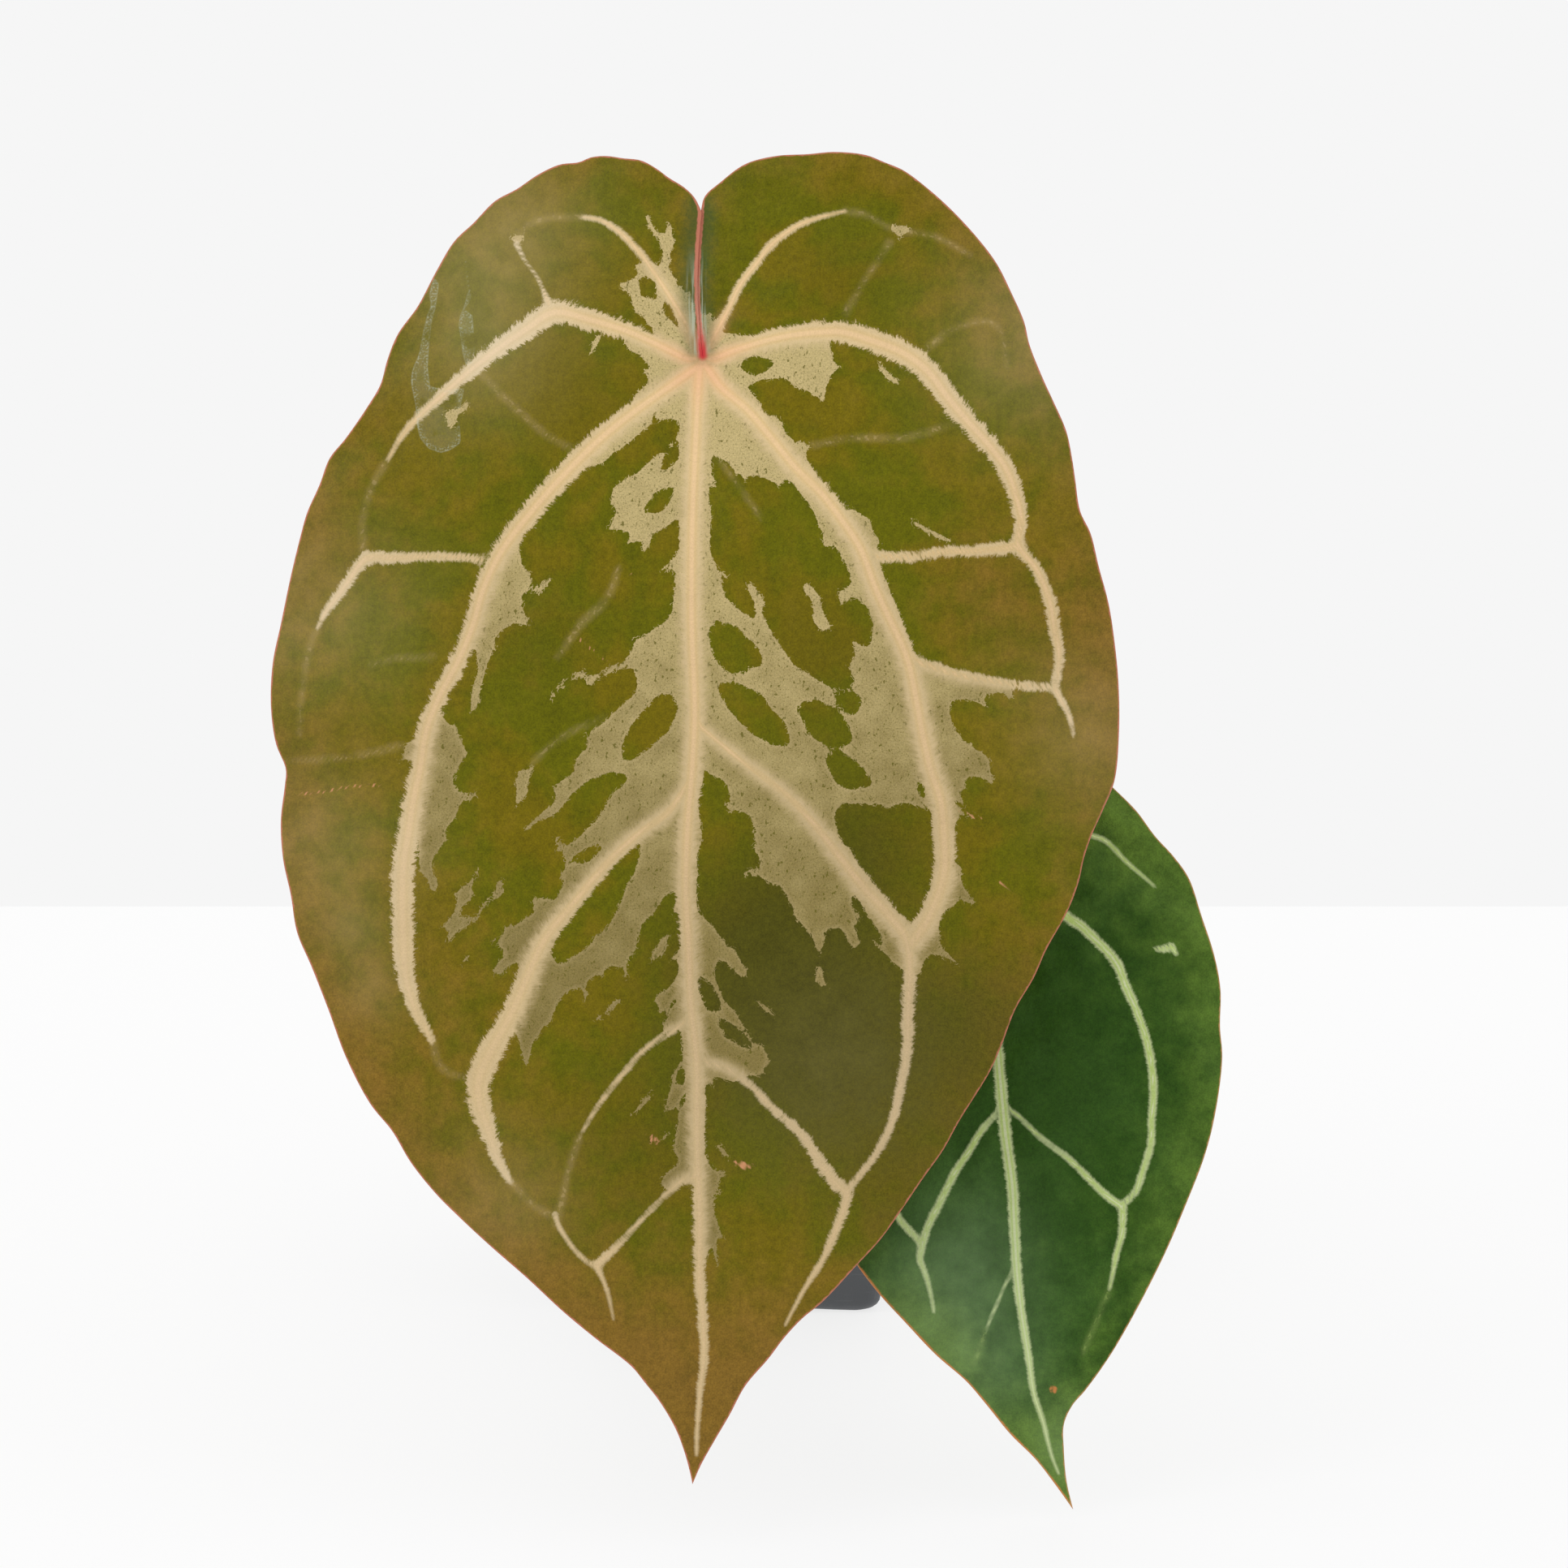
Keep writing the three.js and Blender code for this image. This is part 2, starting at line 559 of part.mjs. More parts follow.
/** Height on the midrib from which the side vein to a margin place leaves. */
function footHeight(blade, { x, y }) {
  const lowest = blade.midrib[blade.midrib.length - 1][1];
  const height = y + blade.slant * Math.abs(x - midribAt(blade, y));
  return Math.min(0, Math.max(height, lowest));
}

/** Spokes of both half blades, each from the midrib out to the margin. Both halves share feet. */
function bladeSpokes(blade) {
  const sides = [marginPlaces(blade, blade.leftMargin), marginPlaces(blade, blade.rightMargin)];
  const feet = sides[0].map((place, at) => {
    const shared = (footHeight(blade, place) + footHeight(blade, sides[1][at])) / 2;
    const height = at === 0 ? 0 : shared;
    return at === blade.marginSteps ? blade.midrib[blade.midrib.length - 1] : [midribAt(blade, height), height];
  });
  return sides.map((places) => places.map(({ x, y }, at) => (
    Array.from({ length: blade.ringSteps + 1 }, (_, ring) => {
      const share = ring / blade.ringSteps;
      return [mix(feet[at][0], x, share), mix(feet[at][1], y, share)];
    })
  )));
}

/** Rib under a blade: a tapering ridge whose upper edges lie inside the blade. */
function makeRib(blade, width, way) {
  const curve = new THREE.SplineCurve(way.map(([right, up]) => new THREE.Vector2(right, up)));
  const steps = Math.max(2, Math.round(curve.getLength() / blade.ribStep));
  const rings = [];
  for (let step = 0; step <= steps; step += 1) {
    const share = step / steps;
    const { x, y } = curve.getPointAt(share);
    const ahead = curve.getTangentAt(share);
    const half = (width / 2) * mix(1, RIB_END_SHARE, share);
    const depth = 2 * half * RIB_DEPTH_SHARE;
    const corner = (out, below) => {
      const flat = [x - ahead.y * out, y + ahead.x * out];
      return bladePoint(blade, flat, reliefAt(blade, flat) - below);
    };
    const sunk = blade.thickness * 0.55;
    const under = blade.thickness + depth;
    rings.push([corner(half, sunk), corner(-half, sunk), corner(-half / 2, under), corner(half / 2, under)]);
  }
  return loft(rings);
}

/** Blade: a thin waved sheet in two halves joined at the midrib, with its ribs beneath. */
function makeBlade(blade) {
  const [left, right] = bladeSpokes(blade);
  const faces = [...gridFaces(left, false), ...gridFaces(right, true)];
  const front = (at) => bladePoint(blade, at, reliefAt(blade, at));
  const back = (at) => bladePoint(blade, at, reliefAt(blade, at) - blade.thickness);
  let body = solidOf(sheetBody(faces, front, back));
  for (const [width, way] of blade.ribs) {
    body = body.add(solidOf(makeRib(blade, width, way)));
  }
  return geometryOf(body);
}

/** Leaf stalk: swollen at its foot and at the joint, where it meets the blade's back squarely. */
function makeStalk(stalk, blade) {
  const ribDepth = blade.ribs[0][0] * RIB_DEPTH_SHARE;
  const end = reliefAt(blade, [0, 0]) - blade.thickness - ribDepth - 2 * FIT_GAP;
  const places = stalk.way.map(([x, y, z]) => point(x, y, z));
  places.push(bladePoint(blade, [0, 0], end - STALK_SQUARE_END), bladePoint(blade, [0, 0], end));
  const curve = new THREE.CatmullRomCurve3(places);
  const jointShare = STALK_JOINT_LENGTH / curve.getLength();
  const radiusAt = (share) => {
    const foot = Math.max(0, 1 - share / STALK_FOOT_SHARE);
    const joint = Math.max(0, 1 - Math.abs(1 - share - jointShare / 2) / jointShare);
    const slim = mix(stalk.radius, stalk.footRadius, foot);
    return mix(slim, stalk.jointRadius, Math.min(1, joint * 1.6));
  };
  return tube(curve, STALK_STEPS, STALK_SIDES, radiusAt);
}

/** Finish of one kind of piece. */
function finish(color, roughness) {
  return new THREE.MeshStandardMaterial({ color, roughness, metalness: 0 });
}

const plant = new THREE.Group();

/** Adds a named piece to the plant. */
function addPiece(name, geometry, material) {
  const piece = new THREE.Mesh(geometry, material);
  piece.name = name;
  plant.add(piece);
}

addPiece('pot', makePot(), finish(0x4e5052, 0.62));
addPiece('potting_mix', makeMix(), finish(0x4a3524, 0.95));
addPiece('stem', makeStem(), finish(0x5d6b35, 0.6));
ROOTS.forEach((way, at) => {
  addPiece(`root_${at + 1}`, makeRoot(way), finish(0xa9a384, 0.7));
});
SHEATHS.forEach((sheath, at) => {
  addPiece(`sheath_${at + 1}`, makeSheath(sheath), finish(0x9a6b42, 0.75));
});
addPiece('stalk_large', makeStalk(LARGE_STALK, LARGE_BLADE), finish(0x7a7a38, 0.5));
addPiece('stalk_small', makeStalk(SMALL_STALK, SMALL_BLADE), finish(0x6f8238, 0.5));
addPiece('blade_large', makeBlade(LARGE_BLADE), finish(0x66622a, 0.5));
addPiece('blade_small', makeBlade(SMALL_BLADE), finish(0x2c551c, 0.5));

export default plant;
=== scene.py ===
"""Looks of a potted variegated anthurium hybrid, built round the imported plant.

Two heart shaped blades with fine outlines, veins and silver patches, their ribs and stalks, the
stem with its roots and dry sheaths, and the square pot with its coarse mix. Sizes are in
millimetres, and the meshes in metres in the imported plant's frame. The blades are drawn right and
up from the stalk joint, on the same planes as in the part's source.
"""

import logging
import math
from collections.abc import Callable, Iterator, Sequence
from contextlib import contextmanager
from dataclasses import dataclass, field
from enum import Enum

import bpy
import numpy as np
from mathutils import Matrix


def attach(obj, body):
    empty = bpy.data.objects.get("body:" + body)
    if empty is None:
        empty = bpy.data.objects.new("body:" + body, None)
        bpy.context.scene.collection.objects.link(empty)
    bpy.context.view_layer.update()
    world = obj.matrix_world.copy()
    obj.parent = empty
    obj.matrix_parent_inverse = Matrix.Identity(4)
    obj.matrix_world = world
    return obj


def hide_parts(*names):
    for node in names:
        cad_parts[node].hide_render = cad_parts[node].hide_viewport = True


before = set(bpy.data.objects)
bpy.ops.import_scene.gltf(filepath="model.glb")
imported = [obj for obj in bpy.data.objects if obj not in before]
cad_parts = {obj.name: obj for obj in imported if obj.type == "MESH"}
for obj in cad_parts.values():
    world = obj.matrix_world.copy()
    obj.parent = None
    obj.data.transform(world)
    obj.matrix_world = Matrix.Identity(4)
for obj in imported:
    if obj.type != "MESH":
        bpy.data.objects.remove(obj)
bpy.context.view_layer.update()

LOG = logging.getLogger("scene")
MM = 0.001
WELD = 1e-6
FULL_TURN = 2 * math.pi

# Standing point that both blades face, in millimetres, and how far it looks down
SIGHT = np.array([12.4, -1144.0, 376.0])
SIGHT_TILT = math.radians(12)
SIGHT_RIGHT = np.array([1.0, 0.0, 0.0])
SIGHT_UP = np.array([0.0, math.sin(SIGHT_TILT), math.cos(SIGHT_TILT)])
SIGHT_AHEAD = np.array([0.0, math.cos(SIGHT_TILT), -math.sin(SIGHT_TILT)])

Colour = tuple[float, float, float, float]
Triple = tuple[float, float, float]

WHITE: Colour = (1.0, 1.0, 1.0, 1.0)


class Slot(Enum):
    """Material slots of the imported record."""

    POT = "pot"
    MIX = "potting_mix"
    STEM = "stem"
    ROOT = "root"
    SHEATH = "sheath"
    STALK = "stalk"
    BLADE_BRONZE = "blade_bronze"
    BLADE_GREEN = "blade_green"


def tint(red: float, green: float, blue: float) -> Colour:
    """Linear colour from screen levels.

    Args:
        red: red level, 0 to 255.
        green: green level.
        blue: blue level.

    Returns:
        The colour with full cover.
    """
    levels = [level / 255 for level in (red, green, blue)]
    return (*(v / 12.92 if v <= 0.04045 else ((v + 0.055) / 1.055) ** 2.4 for v in levels), 1.0)


def drawn(text: str) -> np.ndarray:
    """Points right and up on a drawing plane.

    Args:
        text: pairs of millimetres, as in "0,0 -2.3,-35.1".

    Returns:
        One row for each point.
    """
    return np.array([pair.split(",") for pair in text.split()], float)


def tints(text: str) -> list[Colour]:
    """Linear colours from screen levels, each written as red,green,blue."""
    return [tint(*row) for row in drawn(text).tolist()]


def rows_of(text: str) -> list[list[str]]:
    """Rows of a block of text.

    Args:
        text: rows parted by semicolons, each a heading, a colon and a line of points.

    Returns:
        Heading and line of each row.
    """
    return [row.split(":") for row in text.split(";")]


def smooth_way(places: np.ndarray, shares: np.ndarray, dense: int = 16) -> np.ndarray:
    """Points along a smooth centripetal curve through places.

    Args:
        places: way points, one row each.
        shares: shares of the curve's length at which points are wanted.
        dense: steps between two way points while the length is measured.

    Returns:
        One point for each share.
    """
    ends = np.vstack([2 * places[0] - places[1], places, 2 * places[-1] - places[-2]])
    step = np.linspace(0, 1, dense, endpoint=False)[:, None]
    pieces = []
    for p0, p1, p2, p3 in zip(ends, ends[1:], ends[2:], ends[3:]):
        d0, d1, d2 = (
            max(float(np.linalg.norm(b - a)), WELD) ** 0.5 for a, b in ((p0, p1), (p1, p2), (p2, p3))
        )
        t1 = ((p1 - p0) / d0 - (p2 - p0) / (d0 + d1) + (p2 - p1) / d1) * d1
        t2 = ((p2 - p1) / d1 - (p3 - p1) / (d1 + d2) + (p3 - p2) / d2) * d1
        bend = -3 * p1 + 3 * p2 - 2 * t1 - t2
        pieces.append(p1 + t1 * step + bend * step**2 + (2 * p1 - 2 * p2 + t1 + t2) * step**3)
    line = np.vstack([*pieces, places[-1:]])
    run = np.concatenate([[0], np.cumsum(np.linalg.norm(np.diff(line, axis=0), axis=1))])
    return np.column_stack([np.interp(shares * run[-1], run, part) for part in line.T])


def way_length(places: np.ndarray) -> float:
    """Length of a line through places."""
    return float(np.linalg.norm(np.diff(places, axis=0), axis=1).sum())


def curve_length(places: np.ndarray) -> float:
    """Length of the smooth curve through places."""
    return way_length(smooth_way(places, np.linspace(0, 1, 60)))


def ease(values: np.ndarray, low: float, high: float) -> np.ndarray:
    """Soft step from 0 at low to 1 at high."""
    share = np.clip((values - low) / (high - low), 0, 1)
    return share * share * (3 - 2 * share)


def from_line(points: np.ndarray, line: np.ndarray, reach: float) -> tuple[np.ndarray, np.ndarray]:
    """Distances of flat points from a line of points.

    Args:
        points: places to measure from, one row each.
        line: points of the line, in order.
        reach: distance past which the exact value doesn't matter.

    Returns:
        The distances, at most reach, and how far along the line the nearest place is.
    """
    away = np.full(len(points), float(reach))
    along = np.zeros(len(points))
    low, high = line.min(0) - reach, line.max(0) + reach
    near = np.nonzero(((points > low) & (points < high)).all(1))[0]
    close = points[near]
    best, at, run = away[near], along[near], 0.0
    for start, end in zip(line, line[1:]):
        step = end - start
        length = float(np.hypot(*step))
        if length < WELD:
            continue
        share = np.clip(((close - start) @ step) / length**2, 0, 1)
        gap = np.hypot(*(close - start - share[:, None] * step).T)
        closer = gap < best
        best[closer] = gap[closer]
        at[closer] = run + share[closer] * length
        run += length
    away[near], along[near] = best, at
    return away, along


def depth_inside(points: np.ndarray, outline: np.ndarray, reach: float) -> np.ndarray:
    """Depth of flat points inside a closed outline, negative outside it.

    Args:
        points: places to measure, one row each.
        outline: corners of the outline, in order.
        reach: depth past which the exact value doesn't matter.

    Returns:
        The depths, from -reach to reach.
    """
    ring = np.vstack([outline, outline[:1]])
    away, _ = from_line(points, ring, reach)
    inside = np.zeros(len(points), bool)
    low, high = ring.min(0), ring.max(0)
    near = np.nonzero(((points > low) & (points < high)).all(1))[0]
    x, y = points[near].T
    odd = np.zeros(len(near), bool)
    for (x0, y0), (x1, y1) in zip(ring, ring[1:]):
        if y0 != y1:
            crosses = (y0 > y) != (y1 > y)
            odd ^= crosses & (x < (x1 - x0) * (y - y0) / (y1 - y0) + x0)
    inside[near] = odd
    return np.where(inside, away, -away)


# ---------------------------------------------------------------- mesh tools


def turns(count: int) -> np.ndarray:
    """Even angles round a full turn."""
    return np.arange(count) / count * FULL_TURN


def pick(*pieces: bpy.types.Object) -> None:
    """Selects these pieces alone and makes the first one active.

    Args:
        pieces: the pieces, the active one first.
    """
    bpy.ops.object.select_all(action="DESELECT")
    for piece in pieces:
        piece.select_set(True)
    bpy.context.view_layer.objects.active = pieces[0]


def started(add: Callable[..., object], **options: object) -> bpy.types.Object:
    """New object of one of Blender's add operators, selected alone.

    Args:
        add: the operator.
        options: its settings.

    Returns:
        The object.
    """
    bpy.ops.object.select_all(action="DESELECT")
    add(**options)
    return bpy.context.object


def points_of(piece: bpy.types.Object) -> np.ndarray:
    """Vertex places of a piece, one row each.

    Args:
        piece: the piece.

    Returns:
        The places, in metres.
    """
    flat = np.zeros(len(piece.data.vertices) * 3)
    piece.data.vertices.foreach_get("co", flat)
    return flat.reshape(-1, 3)


def place_points(piece: bpy.types.Object, points: np.ndarray) -> None:
    """Moves a piece's vertices to places given in metres."""
    piece.data.vertices.foreach_set("co", np.ascontiguousarray(points, float).ravel())
    piece.data.update()


def note(piece: bpy.types.Object, **layers: np.ndarray) -> None:
    """Stores a number or a vector for each vertex under each name, for the materials to read.

    Args:
        piece: the piece.
        layers: values for its vertices, by name.
    """
    for name, values in layers.items():
        kind, part = ("FLOAT_VECTOR", "vector") if values.ndim == 2 else ("FLOAT", "value")
        layer = piece.data.attributes.new(name, kind, "POINT")
        layer.data.foreach_set(part, values.astype(np.float32).ravel())


@contextmanager
def editing(piece: bpy.types.Object) -> Iterator[None]:
    """Edit mode of a piece, with all its vertices selected to begin with.

    Args:
        piece: the piece.

    Yields:
        Nothing, while the piece is in edit mode.
    """
    pick(piece)
    bpy.ops.object.mode_set(mode="EDIT")
    bpy.ops.mesh.select_mode(type="VERT")
    bpy.ops.mesh.select_all(action="SELECT")
    yield
    bpy.ops.object.mode_set(mode="OBJECT")


def modified(piece: bpy.types.Object, kind: str, **settings: object) -> None:
    """Gives a piece a modifier with these settings and applies it.

    Args:
        piece: the piece.
        kind: the modifier's type.
        settings: its settings.
    """
    pick(piece)
    bpy.ops.object.modifier_add(type=kind)
    for key, value in settings.items():
        setattr(piece.modifiers[0], key, value)
    bpy.ops.object.modifier_apply(modifier=piece.modifiers[0].name)


def weld(piece: bpy.types.Object) -> None:
    """Merges a piece's doubles and turns its faces outwards.

    Args:
        piece: the piece.
    """
    with editing(piece):
        bpy.ops.mesh.remove_doubles(threshold=WELD)
        bpy.ops.mesh.normals_make_consistent(inside=False)


def smooth(piece: bpy.types.Object, sharp: float | None = None) -> None:
    """Shades a piece smooth, keeping edges sharper than an angle in degrees.

    Args:
        piece: the piece.
        sharp: the angle, or None for no sharp edge.
    """
    pick(piece)
    if sharp is None:
        bpy.ops.object.shade_smooth()
    else:
        bpy.ops.object.shade_smooth_by_angle(angle=math.radians(sharp))


def joined(name: str, pieces: Sequence[bpy.types.Object]) -> bpy.types.Object:
    """One object from several pieces.

    Args:
        name: its name.
        pieces: the pieces.

    Returns:
        The object.
    """
    pick(*pieces)
    if len(pieces) > 1:
        bpy.ops.object.join()
    pieces[0].name = name
    return pieces[0]


def grid_sheet(
    columns: int, rows: int, place: Callable[[np.ndarray, np.ndarray], np.ndarray]
) -> bpy.types.Object:
    """Grid of faces bent into shape.

    Args:
        columns: faces across.
        rows: faces along.
        place: gives places in millimetres from column and row numbers.

    Returns:
        The sheet.
    """
    sheet = started(bpy.ops.mesh.primitive_grid_add, x_subdivisions=columns, y_subdivisions=rows, size=2)
    flat = (points_of(sheet)[:, :2] + 1) / 2
    column, row = np.rint(flat * (columns, rows)).astype(int).T
    place_points(sheet, place(column, row) * MM)
    return sheet


def skin(rings: Sequence[np.ndarray], start: np.ndarray, end: np.ndarray) -> bpy.types.Object:
    """Closed body over rings of points.

    Args:
        rings: rings of places in millimetres, all with as many points.
        start: place that closes it before the first ring.
        end: place that closes it after the last ring.

    Returns:
        The body.
    """
    sides = len(rings[0])
    rows = np.array([np.tile(start, (sides, 1)), *rings, np.tile(end, (sides, 1))])
    body = grid_sheet(sides, len(rows) - 1, lambda column, row: rows[row, column % sides])
    weld(body)
    smooth(body)
    return body


def rings_along(way: np.ndarray, radii: np.ndarray, rough: np.ndarray) -> list[np.ndarray]:
    """Rings of points round a line.

    Args:
        way: points of the line.
        radii: radius at each point.
        rough: factors on the radius, ring by ring and side by side.

    Returns:
        The rings.
    """
    ahead = np.gradient(way, axis=0)
    ahead /= np.linalg.norm(ahead, axis=1)[:, None]
    across = np.cross(ahead[0], [0.31, 0.95, 0.12])
    turn = turns(rough.shape[1])
    rings = []
    for place, direction, size in zip(way, ahead, radii[:, None] * rough):
        across = across - direction * (across @ direction)
        across /= np.linalg.norm(across)
        beside = np.cross(direction, across)
        rings.append(place + np.outer(np.cos(turn) * size, across) + np.outer(np.sin(turn) * size, beside))
    return rings


def rounded_ends(shares: np.ndarray, length: float, radius: float) -> np.ndarray:
    """Factors that round both ends of a tube off."""
    near = np.minimum(shares, 1 - shares) * length
    return np.sqrt(np.clip(1 - (1 - np.clip(near / radius, 0, 1)) ** 2, 0.0004, 1))


def dress(
    piece: bpy.types.Object, name: str, slot: Slot, material: bpy.types.Material, replaced: Sequence[str] = ()
) -> bpy.types.Object:
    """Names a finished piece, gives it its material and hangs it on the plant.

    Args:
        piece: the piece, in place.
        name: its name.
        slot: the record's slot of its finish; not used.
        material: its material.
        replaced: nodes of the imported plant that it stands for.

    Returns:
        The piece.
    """
    piece.name = name
    piece.data.name = name
    piece.data.materials.clear()
    piece.data.materials.append(material)
    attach(piece, "root")
    if replaced:
        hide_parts(*replaced)
    return piece


def wander(seed: int, count: int, waves: int = 5) -> np.ndarray:
    """Smooth random run of values from about -1 to 1, which meets itself at its end.

    Args:
        seed: seed of the draws.
        count: how many values.
        waves: how many waves.

    Returns:
        The values.
    """
    rng = np.random.default_rng(seed)
    turn = turns(count)
    run = sum(rng.normal() / wave * np.sin(wave * turn + rng.uniform(0, 6.3)) for wave in range(1, waves + 1))
    return run / (np.abs(run).max() + WELD)


# ---------------------------------------------------------------- shader tools


class Signal:
    """Socket of a node that takes part in arithmetic as a number does."""

    def __init__(self, tree: bpy.types.NodeTree, socket: bpy.types.NodeSocket) -> None:
        """Wraps a socket of a tree."""
        self.tree = tree
        self.socket = socket

    def math(self, operation: str, *others: "Signal | float", flip: bool = False) -> "Signal":
        """Result of a Math node.

        Args:
            operation: the node's operation.
            others: its other inputs.
            flip: whether this signal comes second.

        Returns:
            The node's value.
        """
        node = self.tree.nodes.new("ShaderNodeMath")
        node.operation = operation
        inputs = [*others, self] if flip else [self, *others]
        for socket, value in zip(node.inputs, inputs):
            if isinstance(value, Signal):
                self.tree.links.new(value.socket, socket)
            else:
                socket.default_value = value
        return Signal(self.tree, node.outputs[0])

    def __add__(self, other: "Signal | float") -> "Signal":
        """This plus another."""
        return self.math("ADD", other)

    __radd__ = __add__

    def __sub__(self, other: "Signal | float") -> "Signal":
        """This less another."""
        return self.math("SUBTRACT", other)

    def __rsub__(self, other: float) -> "Signal":
        """A number less this."""
        return self.math("SUBTRACT", other, flip=True)

    def __mul__(self, other: "Signal | float") -> "Signal":
        """This times another."""
        return self.math("MULTIPLY", other)

    __rmul__ = __mul__

    def __truediv__(self, other: "Signal | float") -> "Signal":
        """This over another."""
        return self.math("DIVIDE", other)

    def __rtruediv__(self, other: float) -> "Signal":
        """A number over this."""
        return self.math("DIVIDE", other, flip=True)


Value = Signal | float | Colour | Triple


class Wiring:
    """Node tree whose nodes all come from one method."""

    def __init__(self, tree: bpy.types.NodeTree) -> None:
        """Empties the tree."""
        self.tree = tree
        self.tree.nodes.clear()

    def node(
        self, kind: str, settings: dict[str, object] | None = None, sockets: dict[str | int, Value] | None = None
    ) -> bpy.types.Node:
        """Adds a node.

        Args:
            kind: the node's type, without its ShaderNode prefix.
            settings: its settings, or a ramp's stops, which are set first.
            sockets: values or links of its inputs, by name or number.

        Returns:
            The node.
        """
        node = self.tree.nodes.new("ShaderNode" + kind)
        for key, value in (settings or {}).items():
            if key == "stops":
                ramp = node.color_ramp.elements
                while len(ramp) < len(value):
                    ramp.new(1.0)
                for element, (position, colour) in zip(ramp, value):
                    element.position, element.color = position, colour
            else:
                setattr(node, key, value)
        for key, value in (sockets or {}).items():
            if isinstance(value, Signal):
                self.tree.links.new(value.socket, node.inputs[key])
            else:
                node.inputs[key].default_value = value
        return node

    def out(self, node: bpy.types.Node, output: str | int = 0) -> Signal:
        """Signal of a node's output."""
        return Signal(self.tree, node.outputs[output])


class Recipe(Wiring):
    """Node tree of one material, with the patterns that its finishes share."""

    def __init__(self, name: str, flat: bool = False) -> None:
        """Starts an empty material.

        Args:
            name: its name.
            flat: whether its patterns are flat.
        """
        self.space = "2D" if flat else "3D"
        self.material = bpy.data.materials.new(name)
        self.material.use_nodes = True
        super().__init__(self.material.node_tree)

    def stored(self, name: str, output: str = "Fac") -> Signal:
        """Values stored on the mesh."""
        return self.out(self.node("Attribute", {"attribute_name": name}), output)

    def place(self) -> Signal:
        """Object coordinates, in millimetres."""
        spot = self.out(self.node("TexCoord"), "Object")
        return self.scaled(spot, (1 / MM,) * 3)

    def scaled(self, vector: Signal, factors: Triple) -> Signal:
        """Vector times a factor on each axis."""
        return self.out(self.node("VectorMath", {"operation": "MULTIPLY"}, {0: vector, 1: factors}))

    def shifted(self, vector: Signal, other: Signal | Triple) -> Signal:
        """Sum of two vectors."""
        return self.out(self.node("VectorMath", {"operation": "ADD"}, {0: vector, 1: other}))

    def vector(self, x: Value, y: Value, z: Value) -> Signal:
        """Vector from three numbers."""
        return self.out(self.node("CombineXYZ", None, {0: x, 1: y, 2: z}))

    def noise(self, spot: Signal, scale: float, detail: float = 2.0, rough: float = 0.5) -> Signal:
        """Smooth noise from about 0.2 to 0.8, with so many patches to a unit of length."""
        sockets = {"Vector": spot, "Scale": scale, "Detail": detail, "Roughness": rough}
        return self.out(self.node("TexNoise", {"noise_dimensions": self.space}, sockets))

    def wobble(self, spot: Signal, scale: float, amount: float) -> Signal:
        """Spot moved about by noise.

        Args:
            spot: the place.
            scale: patches to a unit of length.
            amount: how far.

        Returns:
            The place.
        """
        sockets = {"Vector": spot, "Scale": scale, "Detail": 2.0}
        node = self.node("TexNoise", {"noise_dimensions": self.space}, sockets)
        centred = self.shifted(self.out(node, "Color"), (-0.5,) * 3)
        return self.shifted(spot, self.scaled(centred, (amount,) * 3))

    def cells(self, spot: Signal, scale: float) -> Signal:
        """Cell pattern: distance to the nearest cell wall."""
        settings = {"feature": "DISTANCE_TO_EDGE", "voronoi_dimensions": self.space}
        return self.out(self.node("TexVoronoi", settings, {"Vector": spot, "Scale": scale}), "Distance")

    def band(self, value: Signal, low: float, high: float, to: tuple[float, float] = (0.0, 1.0)) -> Signal:
        """Soft step of a value from low to high.

        Args:
            value: the value.
            low: where the step starts.
            high: where it ends.
            to: its two levels.

        Returns:
            The level.
        """
        settings = {"interpolation_type": "SMOOTHSTEP"}
        sockets = {"Value": value, "From Min": low, "From Max": high, "To Min": to[0], "To Max": to[1]}
        return self.out(self.node("MapRange", settings, sockets), "Result")

    def mix(self, factor: Value, base: Value, other: Value, blend: str = "MIX") -> Signal:
        """Colour between two colours."""
        settings = {"data_type": "RGBA", "blend_type": blend}
        return self.out(self.node("Mix", settings, {0: factor, 6: base, 7: other}), 2)

    def shade(self, colour: Value, factor: Signal) -> Signal:
        """Colour made lighter or darker by a factor."""
        grey = self.vector(factor, factor, factor)
        return self.mix(1.0, colour, grey, "MULTIPLY")

    def finish(
        self, base: Value, rough: Value, height: Signal | None = None, settled: dict[str, Value] | None = None
    ) -> bpy.types.Material:
        """Ends the tree with a Principled shader.

        Args:
            base: the colour.
            rough: the roughness.
            height: relief in millimetres, for the bump.
            settled: values of other sockets, the same all over.

        Returns:
            The material.
        """
        sockets: dict[str | int, Value] = {"Base Color": base, "Roughness": rough, **(settled or {})}
        if height is not None:
            bump = self.node("Bump", None, {"Strength": 1.0, "Distance": MM, "Height": height})
            sockets["Normal"] = self.out(bump)
        shader = self.node("BsdfPrincipled", None, sockets)
        self.node("OutputMaterial", None, {"Surface": self.out(shader)})
        return self.material


# ---------------------------------------------------------------- finishes


